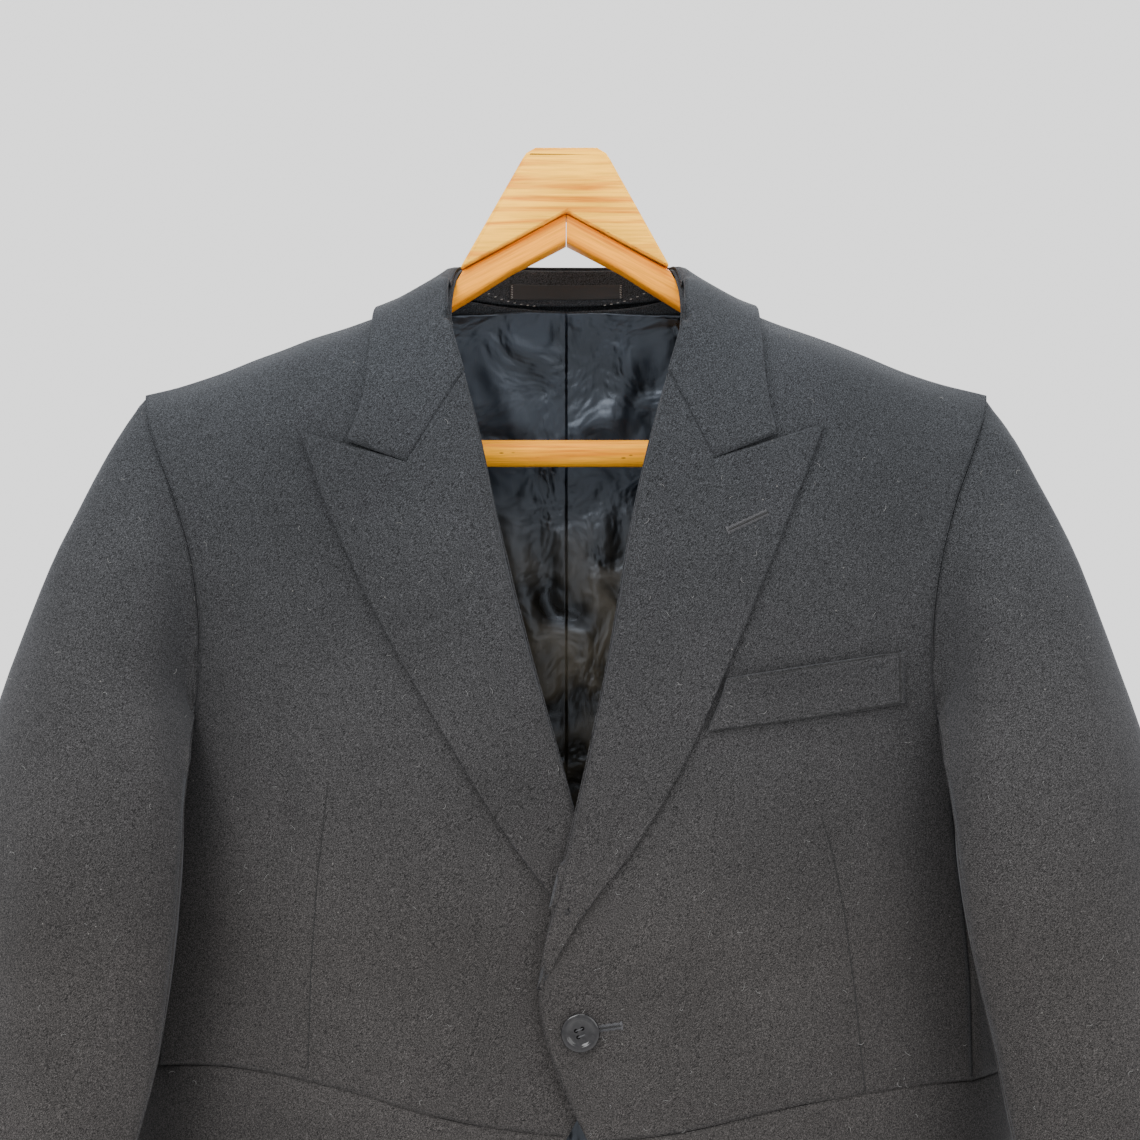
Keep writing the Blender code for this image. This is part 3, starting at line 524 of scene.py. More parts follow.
def regions(shape, kind):
    """Marks each face as of the outer face, the inner face or the rim of a wall."""
    rim = set()
    for group in groups_of(shape.faces, lambda edge: edge.calc_face_angle(math.pi) < SHARP):
        if mean_width(group) < RIM_WIDTH:
            rim.update(group)
    sides = groups_of(set(shape.faces) - rim, lambda edge: not rim.intersection(edge.link_faces))
    sides.sort(key=lambda group: -outwardness(group, kind))
    for face in rim:
        face.material_index = RIM
    for index, group in enumerate(sides):
        for face in group:
            face.material_index = min(index, INNER)


def solid_shape(name):
    """The solid of that name as a mesh to work on, its corners joined."""
    shape = bmesh.new()
    shape.from_mesh(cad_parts[name].data)
    bmesh.ops.remove_doubles(shape, verts=shape.verts, dist=SAME_PLACE)
    return shape


def linked(name, mesh):
    """A new object in the scene."""
    made = bpy.data.objects.new(name, mesh)
    bpy.context.scene.collection.objects.link(made)
    return made


def settled(made):
    """An object's mesh with its modifiers applied."""
    mesh = bpy.data.meshes.new_from_object(made.evaluated_get(bpy.context.evaluated_depsgraph_get()))
    made.modifiers.clear()
    made.data = mesh
    return mesh


def quads_of(name, kind):
    """A solid's wall in quads, its edges held sharp, subdivided into a smooth surface."""
    shape = solid_shape(name)
    regions(shape, kind)
    bmesh.ops.join_triangles(
        shape,
        faces=shape.faces,
        cmp_materials=True,
        angle_face_threshold=QUAD_BEND,
        angle_shape_threshold=QUAD_SKEW,
    )
    crease = shape.edges.layers.float.new("crease_edge")
    for edge in shape.edges:
        places = {face.material_index for face in edge.link_faces}
        if len(places) > 1 or places == {RIM} and edge.calc_face_angle(0) > SHARP:
            edge[crease] = 1
    mesh = bpy.data.meshes.new(name)
    shape.to_mesh(mesh)
    shape.free()
    made = linked("cloth_" + name, mesh)
    smooth = made.modifiers.new("smooth", "SUBSURF")
    smooth.levels = smooth.render_levels = LEVELS.get(kind, LEVEL)
    settled(made)
    return made


def inset_borders(shape, width, lowest):
    """A narrow ring of faces along the borders of the outer and the inner face."""
    for region in (OUTER, INNER):
        faces = [
            face
            for face in shape.faces
            if face.material_index == region and face.calc_center_median().z > lowest * MM
        ]
        bmesh.ops.inset_region(shape, faces=faces, thickness=width * MM, use_even_offset=True)


def border_of(mesh, region):
    """Marks the vertices where a region meets the rim, and all of the region's vertices."""
    inside = np.zeros(len(mesh.vertices), bool)
    rim = np.zeros(len(mesh.vertices), bool)
    for face in mesh.polygons:
        if face.material_index == region:
            inside[list(face.vertices)] = True
        elif face.material_index == RIM:
            rim[list(face.vertices)] = True
    return inside & rim, inside


def tree_of(points):
    """A tree that finds the nearest of some points."""
    tree = KDTree(len(points))
    for index, point in enumerate(points):
        tree.insert(point, index)
    tree.balance()
    return tree


def draw_to(piece, border, targets, reach, share, fade):
    """Moves border points towards the targets near them, and the points near those with them."""
    points = read_points(piece.data)
    targets = tree_of(targets)
    places = []
    moves = []
    for point in points[border]:
        target, _, distance = targets.find(point)
        if distance < reach:
            places.append(point)
            moves.append(share * (np.array(target) - point))
    if not places:
        return
    tree = tree_of(places)
    moved = points.copy()
    for index, point in enumerate(points):
        _, near, distance = tree.find(point)
        if distance < fade:
            moved[index] += moves[near] * (1 - distance / fade) ** 2
    write_points(piece.data, moved)


def kind_of(name):
    """What a piece is, and the side it is on. A piece with no side counts as left."""
    for side in SIDES:
        if name.endswith("_" + side):
            return name[: -len(side) - 1], side
    return name, "left"


def piece_form(kind, base):
    """What a kind of piece adds to the form of the cloth that all share."""
    plan = base[:, [0, 2]]
    height = np.zeros(len(base))
    if kind == "front":
        for dart in DARTS.values():
            away, place = along(dart, plan)
            pressed = DART_DEPTH * np.exp(-((away / DART_WIDTH) ** 2))
            height -= pressed * ease(place / FOLD_FADE) * (base[:, 1] < FRONT_Y)
    if kind == "lapel":
        height -= LAPEL_DROP * under(base[:, 2], *LAPEL_END)
    if kind == "breast_welt":
        away, _ = along(WELT_EDGE, plan)
        height += WELT_HEIGHT * np.exp(-((away / WELT_WIDTH) ** 2))
    if kind == "back_lining":
        size, seed, depth = RUMPLE
        rumple = np.abs(unevenness(base * RUMPLE_LONG, size, seed))
        height -= depth * under(base[:, 2], RUMPLE_TOP, RUMPLE_SPAN) * rumple + folds(LINING_FOLDS, plan)
    return height


def add_fullness(kind, side, points, base):
    """Widens the sides and the sleeves, closes the centre seam and laps the vent."""
    across = np.abs(base[:, 0])
    outwards = np.sign(base[:, 0])
    down = base[:, 2]
    if "sleeve" in kind:
        inside = under(across, *SLEEVE_ACROSS) * under(base[:, 1], *SLEEVE_FRONT)
        beside = under(down, *SLEEVE_DOWN) * beyond(down, *SLEEVE_END)
        points[:, 0] -= SLEEVE_INWARDS * outwards * inside * beside
    else:
        wide = beyond(across, *SIDE_ACROSS) * under(down, *SIDE_DOWN)
        points[:, 0] += SIDE_FULLNESS * outwards * wide
    if kind.startswith("back"):
        centred = (across < CENTRE_SEAM) & (down > CENTRE_END)
        points[centred, 0] = CENTRE_GAP * SIDES[side]
        if side == "left":
            lapped = under(across, VENT_REACH, VENT_REACH) * under(down, *VENT_DOWN)
            points += lapped[:, None] * VENT_LAP


def cloth(name, materials):
    """The visible cloth of a solid: its smooth wall with folds, rolled edges and seams."""
    kind, side = kind_of(name)
    made = quads_of(name, kind)
    mesh = made.data
    shape = bmesh.new()
    shape.from_mesh(mesh)
    lowest = LAPEL_TIP if kind == "lapel" else BELOW_ALL
    inset_borders(shape, EDGE_INSETS.get(kind, EDGE_INSET), lowest)
    shape.normal_update()
    shape.to_mesh(mesh)
    shape.free()
    points = read_points(mesh)
    normals = np.array([vertex.normal for vertex in mesh.vertices])
    outer_border, outer = border_of(mesh, OUTER)
    inner_border, _ = border_of(mesh, INNER)
    surface = tree_of(points[outer])
    nearest = np.array([surface.find(point)[1] for point in points])
    base = points[outer][nearest]
    facing = normals[outer][nearest]
    height = coat_form(kind, base, facing) + piece_form(kind, base)
    points = points + height[:, None] * facing
    add_fullness(kind, side, points, base)
    dip = EDGE_DIPS.get(kind, EDGE_DIP)
    points[outer_border] -= dip * facing[outer_border]
    points[inner_border] += INNER_DIP * dip * facing[inner_border]
    if kind == "lapel":
        away, _ = along(ROLL_LINES[side], base[:, [0, 2]])
        wrapped = np.clip(1 - away / ROLL_WRAP, 0, 1) ** 2 * beyond(base[:, 2], *ROLL_END)
        points -= ROLL_DROP * wrapped[:, None] * facing
        points[:, 0] -= SIDES[side] * ROLL_OUT * wrapped
    write_points(mesh, points)
    mesh.materials.clear()
    for material in materials:
        mesh.materials.append(MATERIALS[material])
    mesh.shade_smooth()
    return made, outer_border | inner_border


def new_material(name, rough):
    """A new material, its shader, and the place on the coat that its patterns read."""
    made = bpy.data.materials.new(name)
    made.use_nodes = True
    nodes = made.node_tree.nodes
    shader = nodes["Principled BSDF"]
    shader.inputs["Roughness"].default_value = rough
    place = nodes.new("ShaderNodeTexCoord")
    return made, shader, place.outputs["Object"]


def join(made, output, shader, name):
    made.node_tree.links.new(output, shader.inputs[name])


def shader_node(made, kind, inputs, **settings):
    """A shader node with its settings, and with each input set or joined to another's output."""
    added = made.node_tree.nodes.new(kind)
    for name, value in settings.items():
        setattr(added, name, value)
    for name, value in inputs.items():
        if isinstance(value, bpy.types.NodeSocket):
            join(made, value, added, name)
        else:
            added.inputs[name].default_value = value
    return added


def grey(value):
    return (value, value, value)


def ramp(made, factor, stops):
    """A colour ramp read at a factor."""
    added = shader_node(made, "ShaderNodeValToRGB", {"Fac": factor})
    elements = added.color_ramp.elements
    for _ in range(len(stops) - 2):
        elements.new(0.5)
    for element, (place, colour) in zip(elements, stops):
        element.position = place
        element.color = (*colour, 1)
    return added.outputs["Color"]


def greys(made, factor, *stops):
    """A ramp of greys read at a factor."""
    return ramp(made, factor, [(place, grey(value)) for place, value in stops])


def stretched(made, place, scale, turn=(0, 0, 0)):
    inputs = {"Vector": place, "Scale": scale, "Rotation": turn}
    return shader_node(made, "ShaderNodeMapping", inputs).outputs["Vector"]


def clouds(made, place, scale=1, detail=2, distortion=0):
    """Smooth noise from 0 to 1."""
    inputs = {"Vector": place, "Scale": scale, "Detail": detail, "Distortion": distortion}
    return shader_node(made, "ShaderNodeTexNoise", inputs).outputs["Fac"]


def height_between(made, place, low, high):
    """How high a place lies between two heights in metres, from 0 to 1."""
    height = shader_node(made, "ShaderNodeSeparateXYZ", {"Vector": place}).outputs["Z"]
    inputs = {"Value": height, "From Min": low, "From Max": high}
    return shader_node(made, "ShaderNodeMapRange", inputs).outputs[0]


def mixed(made, factor, first, second, blend="MIX"):
    added = shader_node(made, "ShaderNodeMix", {}, data_type="RGBA", blend_type=blend)
    links = made.node_tree.links
    for index, value in ((0, factor), (6, first), (7, second)):
        if isinstance(value, bpy.types.NodeSocket):
            links.new(value, added.inputs[index])
        else:
            added.inputs[index].default_value = value
    return added.outputs[2]


def multiplied(made, first, second):
    return mixed(made, 1.0, first, second, "MULTIPLY")


def flecks(made, place, scale, sizes, chances):
    """Round flecks in some of the cells of a pattern. Each pair gives a place and a grey."""
    inputs = {"Vector": place, "Scale": scale, "Randomness": 1}
    cells = shader_node(made, "ShaderNodeTexVoronoi", inputs, feature="F1")
    size = greys(made, cells.outputs["Distance"], *sizes)
    chance = greys(made, cells.outputs["Color"], *chances)
    return multiplied(made, size, chance)


def bumped(made, shader, height, strength, distance):
    """Joins a height to the shader as a bump."""
    inputs = {"Height": height, "Strength": strength, "Distance": distance}
    added = shader_node(made, "ShaderNodeBump", inputs)
    join(made, added.outputs["Normal"], shader, "Normal")


def wool(name, painted_cool_top, painted_warm_bottom, lint):
    """Fine twill: diagonal ribs, mixed fibres, a soft bloom and stray light fibres, over a painted tint
    of light, cooler at the top and warmer at the bottom.
    """
    made, shader, place = new_material(name, 0.92)
    turned = stretched(made, place, (1, 1, 1), (0, math.radians(45), 0))
    ribs = clouds(made, stretched(made, turned, (1050, 1050, 3200)))
    fibre = clouds(made, place, 2700, 1)
    cloud = clouds(made, place, 11, 4)
    # Painted light: the cloth is tinted cooler towards the top and warmer towards the bottom, as the
    # light falls on it.
    tone = mixed(made, height_between(made, place, -0.42, -0.1), (*painted_warm_bottom, 1), (*painted_cool_top, 1))
    tone = multiplied(made, tone, greys(made, ribs, (0.34, 0.25), (0.66, 1.8)))
    tone = multiplied(made, tone, greys(made, fibre, (0.34, 0.38), (0.66, 1.7)))
    tone = multiplied(made, tone, greys(made, cloud, (0.35, 0.9), (0.65, 1.1)))
    bright = flecks(made, place, 95, ((0.028, 1), (0.045, 0)), ((0.62, 0), (0.66, lint)))
    tone = mixed(made, bright, tone, (0.16, 0.155, 0.145, 1))
    join(made, tone, shader, "Base Color")
    shader.inputs["Specular IOR Level"].default_value = 0.12
    shader.inputs["Sheen Weight"].default_value = 0.06
    shader.inputs["Sheen Roughness"].default_value = 0.5
    shader.inputs["Sheen Tint"].default_value = (0.75, 0.8, 0.9, 1)
    bumped(made, shader, mixed(made, 0.5, ribs, fibre), 0.35, 0.0004)
    return made


def satin():
    """Creased satin, dark in the neck and in the tails, with a painted brown reflection between them."""
    made, shader, place = new_material("satin_lining", 0.3)
    threads = clouds(made, stretched(made, place, (3000, 300, 300)), detail=1)
    soft = clouds(made, place, 30, 3, 0.5)
    # Painted reflection: a brown band across the middle height of the lining stands in for the brown
    # that the satin reflects there.
    painted_brown_reflection = (0.046, 0.04, 0.03)
    stops = [(0.1, (0.006, 0.007, 0.009)), (0.3, painted_brown_reflection), (0.66, painted_brown_reflection), (0.86, (0.005, 0.0068, 0.0098))]
    tone = ramp(made, height_between(made, place, -0.6, -0.1), stops)
    tone = multiplied(made, tone, greys(made, soft, (0.38, 0.3), (0.64, 2.4)))
    join(made, tone, shader, "Base Color")
    join(made, greys(made, soft, (0.3, 0.26), (0.7, 0.42)), shader, "Roughness")
    shader.inputs["Specular IOR Level"].default_value = 0.46
    shader.inputs["Specular Tint"].default_value = (0.75, 0.85, 1, 1)
    bumped(made, shader, mixed(made, 0.006, soft, threads), 0.8, 0.0075)
    return made


def horn():
    """Polished dark horn with a faint swirl."""
    made, shader, place = new_material("dark_horn", 0.16)
    shader.inputs["Specular IOR Level"].default_value = 0.24
    shader.inputs["Coat Weight"].default_value = 0.35
    shader.inputs["Coat Roughness"].default_value = 0.04
    swirl = clouds(made, place, 240, 4, 2)
    tone = ramp(made, swirl, [(0.35, (0.002, 0.002, 0.003)), (0.75, (0.011, 0.01, 0.011))])
    join(made, tone, shader, "Base Color")
    join(made, greys(made, swirl, (0.3, 0.08), (0.7, 0.16)), shader, "Roughness")
    return made


def thread(name, colour):
    """Twisted thread."""
    made, shader, place = new_material(name, 0.7)
    twist = stretched(made, place, (2500, 2500, 2500), (0.6, 0.4, 0.2))
    inputs = {"Vector": twist, "Scale": 1, "Distortion": 1}
    twist = shader_node(made, "ShaderNodeTexWave", inputs).outputs["Fac"]
    dark = tuple(0.6 * value for value in colour)
    join(made, ramp(made, twist, [(0.2, dark), (0.8, colour)]), shader, "Base Color")
    bumped(made, shader, twist, 0.3, 0.0002)
    return made


def tape():
    """The woven tape of the label."""
    made, shader, place = new_material("woven_tape", 0.75)
    weave = stretched(made, place, (1600, 1600, 2600))
    weave = shader_node(made, "ShaderNodeTexChecker", {"Vector": weave, "Scale": 1}).outputs["Fac"]
    both = mixed(made, 0.5, weave, clouds(made, place, 1200))
    tone = ramp(made, both, [(0.2, (0.0025, 0.0025, 0.003)), (0.8, (0.0085, 0.0085, 0.0095))])
    join(made, tone, shader, "Base Color")
    bumped(made, shader, both, 0.4, 0.0002)
    return made


def pine(name, turn, light, dark):
    """Planed pine with long grain, a few darker lines, small flecks and a thin varnish."""
    made, shader, place = new_material(name, 0.42)
    turned = stretched(made, place, (1, 1, 1), (0, turn, 0))
    grain = clouds(made, stretched(made, turned, (7, 60, 130)), 1, 5, 0.8)
    fine = clouds(made, stretched(made, turned, (40, 900, 900)), 1, 3)
    pale = tuple(1.08 * value for value in light)
    tone = ramp(made, grain, [(0.3, dark), (0.48, light), (0.62, pale), (0.75, dark)])
    tone = multiplied(made, tone, greys(made, fine, (0.3, 0.78), (0.65, 1.08)))
    cells = stretched(made, turned, (120, 320, 320))
    marks = flecks(made, cells, 1, ((0.1, 1), (0.2, 0)), ((0.7, 0), (0.75, 0.75)))
    tone = mixed(made, marks, tone, (0.12, 0.045, 0.012, 1))
    join(made, tone, shader, "Base Color")
    shader.inputs["Specular IOR Level"].default_value = 0.16
    shader.inputs["Specular Tint"].default_value = (1, 0.85, 0.55, 1)
    bumped(made, shader, mixed(made, 0.5, grain, fine), 0.25, 0.0005)
    return made


MATERIALS = {
    # The wool carries a painted tint of light: cool at the top, warm at the bottom.
    "wool": wool("wool_twill", (0.0205, 0.0225, 0.0255), (0.0265, 0.0245, 0.0237), 0.6),
    # The rims of the wool walls are far darker: painted shade in the seams and gaps between pieces.
    "wool_rim_shade": wool("wool_rim_shade", (0.004, 0.0042, 0.0048), (0.0048, 0.0045, 0.0044), 0.0),
    "satin": satin(),
    "horn": horn(),
    "tape": tape(),
    "thread": thread("buttonhole_thread", (0.055, 0.055, 0.06)),
    # Near-black strands of painted shade, in the buttonhole slits and along the darts and seams.
    "slit": thread("slit_shade", (0.0015, 0.0015, 0.0015)),
    "lint": thread("lint_fibre", (0.24, 0.24, 0.235)),
    "pale_thread": thread("prick_stitch_thread", (0.35, 0.35, 0.34)),
    "pine_head": pine("pine_head", 0, (0.95, 0.47, 0.03), (0.62, 0.17, 0.006)),
    "pine_right": pine("pine_arm_right", math.radians(28), (0.88, 0.33, 0.012), (0.55, 0.14, 0.004)),
    "pine_left": pine("pine_arm_left", math.radians(-28), (0.88, 0.33, 0.012), (0.55, 0.14, 0.004)),
    "pine_bar": pine("pine_bar", 0, (0.95, 0.4, 0.012), (0.66, 0.19, 0.005)),
}


def add_cloth():
    """Every piece of cloth, by its solid's name, with its border points marked."""
    made = {}
    for name in sorted(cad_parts):
        kind, _ = kind_of(name)
        if kind not in CUTS:
            continue
        main = {"back_lining": "satin", "neck_label": "tape"}.get(kind, "wool")
        inside = "satin" if kind in LINED else main
        # The rim faces of wool pieces take the darker wool of painted shade.
        made[name] = cloth(name, (main, inside, "wool_rim_shade" if main == "wool" else main))
    return made


def close_joins(made):
    """Draws the skirts to the backs, the sleeves to the armholes and the fold of the
    collar to its stand."""
    for side in SIDES:
        skirt, border = made["skirt_" + side]
        back, back_border = made["back_" + side]
        points = read_points(skirt.data)
        behind = (points[:, 1] > 0) & (np.abs(points[:, 0]) < TAIL_HALF_WIDTH)
        border = border & behind & (points[:, 2] > TAIL_HEM)
        draw_to(skirt, border, read_points(back.data)[back_border], *TAIL_JOIN)
    for side in SIDES:
        body = [made[kind + "_" + side] for kind in ("front", "side_body", "back")]
        targets = np.concatenate([read_points(piece.data)[border] for piece, border in body])
        for kind in ("top_sleeve_", "under_sleeve_"):
            sleeve, border = made[kind + side]
            draw_to(sleeve, border, targets, *SLEEVE_JOIN)
    stand, stand_border = made["collar_stand"]
    fall, border = made["collar_fall"]
    draw_to(fall, border, read_points(stand.data)[stand_border], *COLLAR_JOIN)


def declare(made):
    """Hides the solid of each piece of cloth and attaches the piece to the root body."""
    for name, (piece, _) in made.items():
        kind, side = kind_of(name)
        rest = RESTS_ON[kind]
        rest = rest + side if rest.endswith("_") else rest
        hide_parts(name)
        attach(piece, "root")


def ray_tree(piece):
    mesh = piece.data
    return BVHTree.FromPolygons([v.co for v in mesh.vertices], [p.vertices for p in mesh.polygons])


def proud(trees, place, lift):
    """The point that shows from the front at a place of X and Z, moved a little forward."""
    x, z = place
    seen = []
    for tree in trees:
        hit = tree.ray_cast(Vector((x, AHEAD_Y, z)) * MM, FORWARDS)[0]
        seen.append(np.array((x, 0, z)) if hit is None else np.array(hit) / MM)
    return min(seen, key=lambda point: point[1]) - [0, lift, 0]


def add_thread(shape, start, end, radius, sides=THREAD_SIDES):
    """A short rounded thread from one point to another."""
    start = np.array(start, float)
    end = np.array(end, float)
    axis = (end - start) / np.linalg.norm(end - start)
    side = np.cross(axis, [0, 1, 0])
    side /= np.linalg.norm(side)
    up = np.cross(axis, side)
    rings = []
    for share, size in THREAD_RINGS:
        middle = start + (end - start) * np.clip(share, 0, 1)
        middle = middle + axis * radius * (np.clip(share, -0.5, 0) + max(share - 1, 0))
        ring = []
        for k in range(sides):
            angle = 2 * math.pi * k / sides
            out = radius * size * (math.cos(angle) * side + math.sin(angle) * up)
            ring.append(shape.verts.new((middle + out) * MM))
        rings.append(ring)
    for near, far in zip(rings, rings[1:]):
        for k in range(sides):
            shape.faces.new((near[k - 1], near[k], far[k], far[k - 1]))
    shape.faces.new(rings[0])
    shape.faces.new(rings[-1])


def finished(name, shape, material):
    """An object of a drawn mesh, riding on the coat."""
    bmesh.ops.recalc_face_normals(shape, faces=shape.faces)
    mesh = bpy.data.meshes.new(name)
    shape.to_mesh(mesh)
    shape.free()
    mesh.materials.append(MATERIALS[material])
    mesh.shade_smooth()
    made = linked(name, mesh)
    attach(made, "root")
    return made


def add_buttonhole(name, piece, start, end, bar_at_end):
    """A worked buttonhole: close stitches either side of the slit, and a bar across its end."""
    trees = [ray_tree(piece)]
    start = np.array(start, float)
    end = np.array(end, float)
    length = np.linalg.norm(end - start)
    run = (end - start) / length
    across = np.array([-run[1], run[0]])
    # The slit is filled with near-black strands: painted shade in the opening.
    slit = bmesh.new()
    marks = [start + share * (end - start) for share in np.linspace(0, 1, SLIT_PARTS + 1)]
    for near, far in zip(marks, marks[1:]):
        add_thread(slit, proud(trees, near, SLIT_LIFT), proud(trees, far, SLIT_LIFT), SLIT_SIZE)
    finished(name + "_slit", slit, "slit")
    shape = bmesh.new()
    for k in range(int(length / STITCH_PITCH)):
        middle = start + run * (STITCH_START + STITCH_PITCH * k)
        for sign in (-1, 1):
            reach = STITCH_FAR + STITCH_WOBBLE * math.sin(STITCH_TURN * k + sign)
            places = (middle + sign * STITCH_NEAR * across, middle + sign * reach * across)
            near, far = (proud(trees, place, lift) for place, lift in zip(places, STITCH_LIFTS))
            add_thread(shape, near, far, STITCH_SIZE)
    for shift in BAR_PLACES:
        middle = (end if bar_at_end else start) + shift * run
        low = proud(trees, middle - BAR_REACH * across, BAR_LIFT)
        high = proud(trees, middle + BAR_REACH * across, BAR_LIFT)
        add_thread(shape, low, high, BAR_SIZE)
    finished(name, shape, "thread")


def add_seam_shade(name, pieces, line):
    """A fine dark line of painted shade in the fold where cloth is sewn down from the inside."""
    trees = [ray_tree(piece) for piece in pieces]
    line = np.array(line, float)
    shape = bmesh.new()
    for start, end in zip(line, line[1:]):
        count = int(np.linalg.norm(end - start) / SEAM_STEP)
        marks = [start + (end - start) * k / count for k in range(count + 1)]
        places = [proud(trees, mark, SEAM_LIFT) for mark in marks]
        for near, far in zip(places, places[1:]):
            add_thread(shape, near, far, SEAM_SIZE)
    finished(name, shape, "slit")


def add_stitch(shape, tree, x, z, half, lift, radius):
    """A small stitch on the cloth that shows at a place in the neck."""
    hit = tree.ray_cast(Vector((x, NECK_Y, z)) * MM, FORWARDS)[0]
    if hit is not None:
        middle = np.array(hit) / MM - [0, lift, 0]
        add_thread(shape, middle - half, middle + half, radius)


def add_prick_stitches(stand):
    """The row of small stitches that holds the undercollar in the neck."""
    tree = ray_tree(stand)
    shape = bmesh.new()
    for k in range(-PRICK_COUNT, PRICK_COUNT + 1):
        x = PRICK_PITCH * k
        z = PRICK_Z + PRICK_RISE * abs(x / PRICK_SPREAD) ** 3
        add_stitch(shape, tree, x, z, *PRICK)
    finished("prick_stitches", shape, "pale_thread")


def add_label_stitches(label):
    """Small stitches at both ends of the label."""
    tree = ray_tree(label)
    shape = bmesh.new()
    low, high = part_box("neck_label")
    for x in (low.x / MM + LABEL_MARGIN, high.x / MM - LABEL_MARGIN):
        for k in range(LABEL_COUNT):
            z = low.z / MM + LABEL_MARGIN + LABEL_PITCH * k
            add_stitch(shape, tree, x, z, *LABEL_STITCH)
    finished("label_stitches", shape, "pale_thread")


def add_lint(pieces):
    """Short curled fibres that cling to the cloth, more of them in front."""
    chance = np.random.default_rng(LINT_SEED)
    trees = [ray_tree(piece) for piece in pieces]
    shape = bmesh.new()
    for k in range(LINT_COUNT):
        x = chance.uniform(-LINT_ACROSS, LINT_ACROSS)
        z = chance.uniform(LINT_BOTTOM if k % LINT_TAILS else LINT_HEM, LINT_TOP)
        facing = 1 if k % LINT_BEHIND else -1
        start = Vector((x, -FAR_Y * facing, z)) * MM
        hits = [tree.ray_cast(start, facing * FORWARDS) for tree in trees]
        hits = [hit for hit in hits if hit[0] is not None]
        if not hits:
            continue
        place = np.array(min(hits, key=lambda hit: hit[3])[0]) / MM - [0, LINT_LIFT * facing, 0]
        turn = chance.uniform(0, 2 * math.pi)
        curl = chance.uniform(-LINT_CURL, LINT_CURL)
        step = chance.uniform(*LINT_STEPS)
        for _ in range(LINT_PARTS):
            ahead = place + step * np.array([math.cos(turn), -LINT_RISE * facing, math.sin(turn)])
            add_thread(shape, place, ahead, LINT_SIZE, LINT_SIDES)
            place = ahead
            turn += curl / 2
    finished("lint", shape, "lint")


def button_profile():
    """Half the section of a button with a raised round rim and a dished middle."""
    points = list(BUTTON_FACE)
    for k in range(ROUND_STEPS):
        angle = math.radians(ROUND_START - ROUND_TURN * k)
        reach = BUTTON_RIM[0] + BUTTON_ROUND[0] * math.cos(angle)
        points.append((reach, BUTTON_RIM[1] + BUTTON_ROUND[1] * math.sin(angle)))
    return points + list(BUTTON_BACK)


def turned_shape(centre, radius, thick, facing):
    """The profile of a button turned about its middle."""
    shape = bmesh.new()
    rings = []
    for share, height in button_profile():
        y = centre[1] - facing * thick * (height - 0.5)
        if share == 0:
            middle = shape.verts.new(Vector((centre[0], y, centre[2])) * MM)
            rings.append([middle] * BUTTON_SIDES)
            continue
        ring = []
        for k in range(BUTTON_SIDES):
            angle = 2 * math.pi * k / BUTTON_SIDES
            x = centre[0] + share * radius * math.cos(angle)
            z = centre[2] + share * radius * math.sin(angle)
            ring.append(shape.verts.new(Vector((x, y, z)) * MM))
        rings.append(ring)
    for near, far in zip(rings, rings[1:]):
        for k in range(BUTTON_SIDES):
            corners = (near[k - 1], near[k], far[k], far[k - 1])
            shape.faces.new(list(dict.fromkeys(corners)))
    return shape


def add_button(name, radius, turn, facing, reach):
    """A turned horn button over its solid, with its holes and the thread through them."""
    low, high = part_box(name)
    centre = np.array((low + high) / 2) / MM
    thick = (high.y - low.y) / MM
    made = finished("turned_" + name, turned_shape(centre, radius, thick, facing), "horn")
    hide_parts(name)
    y = centre[1] - facing * thick * THREAD_HEIGHT
    spots = []
    for k in range(HOLES):
        angle = turn + math.pi / 4 + k * math.pi / 2
        x = centre[0] + reach * math.cos(angle)
        spots.append(np.array([x, y, centre[2] + reach * math.sin(angle)]))
    pits = bmesh.new()
    for spot in spots:
        bmesh.ops.create_cone(
            pits,
            cap_ends=True,
            segments=HOLE_SIDES,
            radius1=HOLE_RADIUS * MM,
            radius2=HOLE_RADIUS * MM,
            depth=HOLE_DEPTH * thick * MM,
        )
        for vertex in [vertex for vertex in pits.verts if not vertex.tag]:
            vertex.tag = True
            x, y, z = vertex.co
            vertex.co = Vector((x, z, y)) + Vector(spot) * MM
    cutter = finished("cutter_" + name, pits, "horn")
    made.modifiers.new("holes", "BOOLEAN").object = cutter
    mesh = settled(made)
    mesh.shade_smooth()
    mesh.set_sharp_from_angle(angle=BUTTON_EDGE)
    bpy.data.objects.remove(cutter)
    threads = bmesh.new()
    for first, second in HOLE_PAIRS:
        for shift in THREAD_SHIFTS:
            lift = np.array([shift, -facing * THREAD_LIFT, shift])
            add_thread(threads, spots[first] + lift, spots[second] + lift, BUTTON_THREAD)
    finished("thread_" + name, threads, "thread")


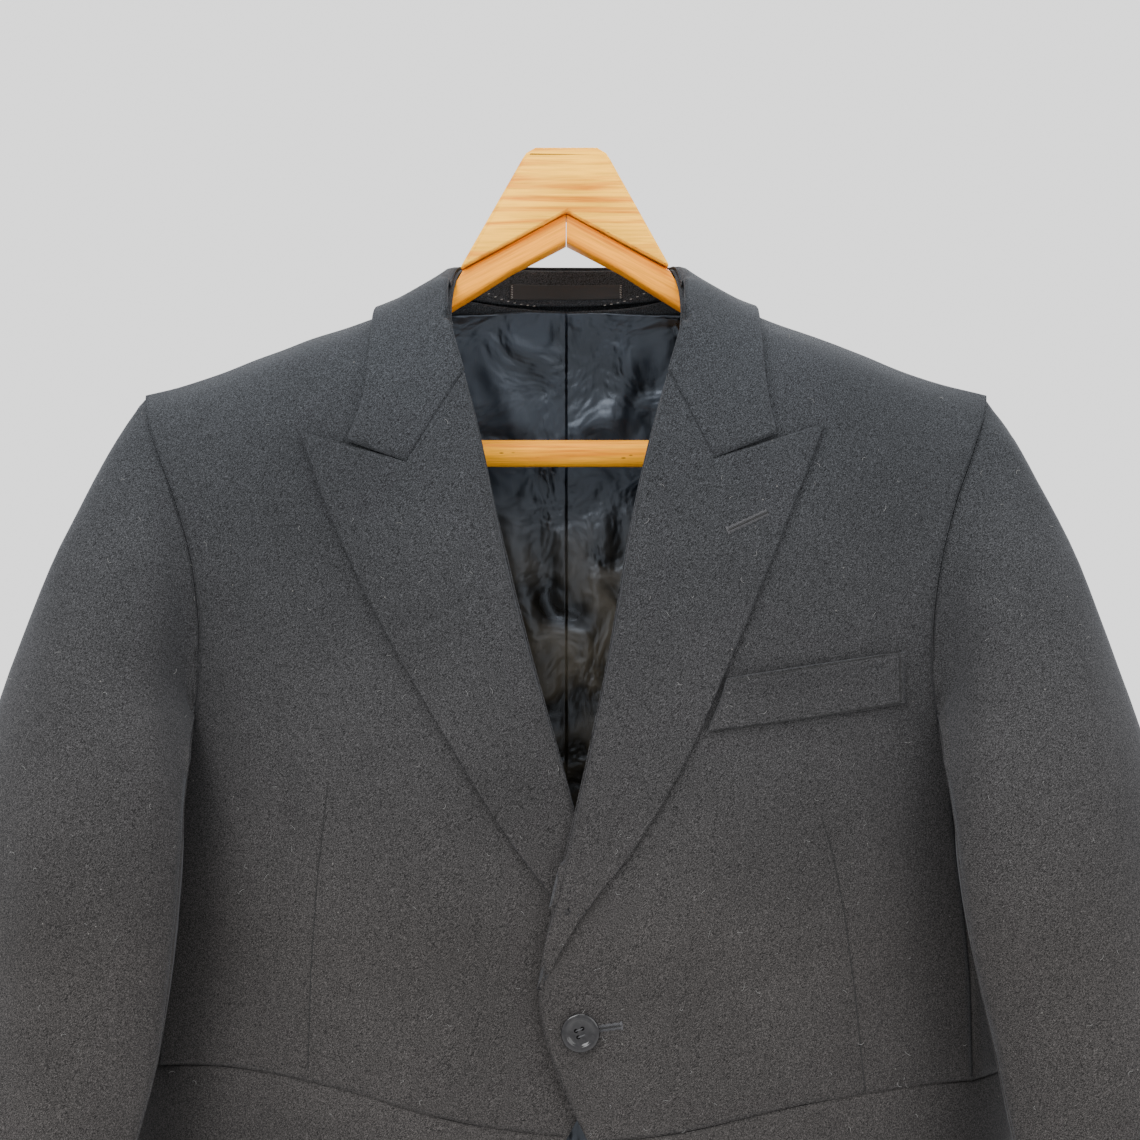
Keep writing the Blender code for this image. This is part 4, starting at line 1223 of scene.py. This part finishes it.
def add_hanger():
    """The hanger in planed pine, its long edges eased."""
    for name, material in HANGER.items():
        shape = solid_shape(name)
        bmesh.ops.dissolve_limit(shape, angle_limit=FLAT, verts=shape.verts, edges=shape.edges)
        made = finished("planed_" + name, shape, material)
        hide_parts(name)
        edges = made.modifiers.new("eased", "BEVEL")
        edges.width = EASED_EDGE * MM
        edges.segments = EASED_STEPS
        edges.limit_method = "ANGLE"
        edges.angle_limit = EASED_ANGLE
        edges.harden_normals = True


def add_stage():
    """A pale floor below the coat, soft lights and the camera."""
    bpy.ops.mesh.primitive_plane_add(size=FLOOR_SIZE, location=(0, 0, FLOOR_Z))
    floor = bpy.context.object
    floor.name = "floor"
    made, shader, place = new_material("floor", 0.8)
    tone = greys(made, clouds(made, place, 2), (0.3, 0.8), (0.7, 0.84))
    join(made, tone, shader, "Base Color")
    floor.data.materials.append(made)
    world = bpy.data.worlds.new("studio")
    bpy.context.scene.world = world
    world.use_nodes = True
    background = world.node_tree.nodes["Background"]
    background.inputs["Color"].default_value = (1, 1, 1, 1)
    background.inputs["Strength"].default_value = WORLD_STRENGTH
    for name, (place, aim, size, power) in LAMPS.items():
        light = bpy.data.lights.new(name, "AREA")
        light.size = size
        light.energy = power
        lamp = linked(name, light)
        lamp.location = place
        lamp.rotation_euler = (Vector(aim) - Vector(place)).to_track_quat("-Z", "Y").to_euler()
    lens = bpy.data.cameras.new("camera")
    lens.lens = CAMERA_LENS
    lens.sensor_width = CAMERA_SENSOR
    camera = linked("camera", lens)
    camera.location = CAMERA_PLACE
    camera.rotation_euler = CAMERA_TURN
    bpy.context.scene.camera = camera


def main():
    add_stage()
    made = add_cloth()
    close_joins(made)
    declare(made)
    pieces = {name: piece for name, (piece, _) in made.items()}
    add_buttonhole("lapel_buttonhole", pieces["lapel_left"], *LAPEL_HOLE, bar_at_end=False)
    add_buttonhole("front_buttonhole", pieces["front_left"], *FRONT_HOLE, bar_at_end=True)
    add_prick_stitches(pieces["collar_stand"])
    add_label_stitches(pieces["neck_label"])
    # Lines of painted shade along the darts and round the breast welt.
    for side, dart in DARTS.items():
        add_seam_shade("dart_shade_" + side, [pieces["front_" + side]], dart)
    add_seam_shade("welt_seam_shade", [pieces["front_left"], pieces["breast_welt"]], WELT_SEAM)
    add_lint([piece for name, piece in pieces.items() if kind_of(name)[0] in LINTY])
    for name, button in BUTTONS.items():
        add_button(name, *button)
    add_hanger()
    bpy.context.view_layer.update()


main()
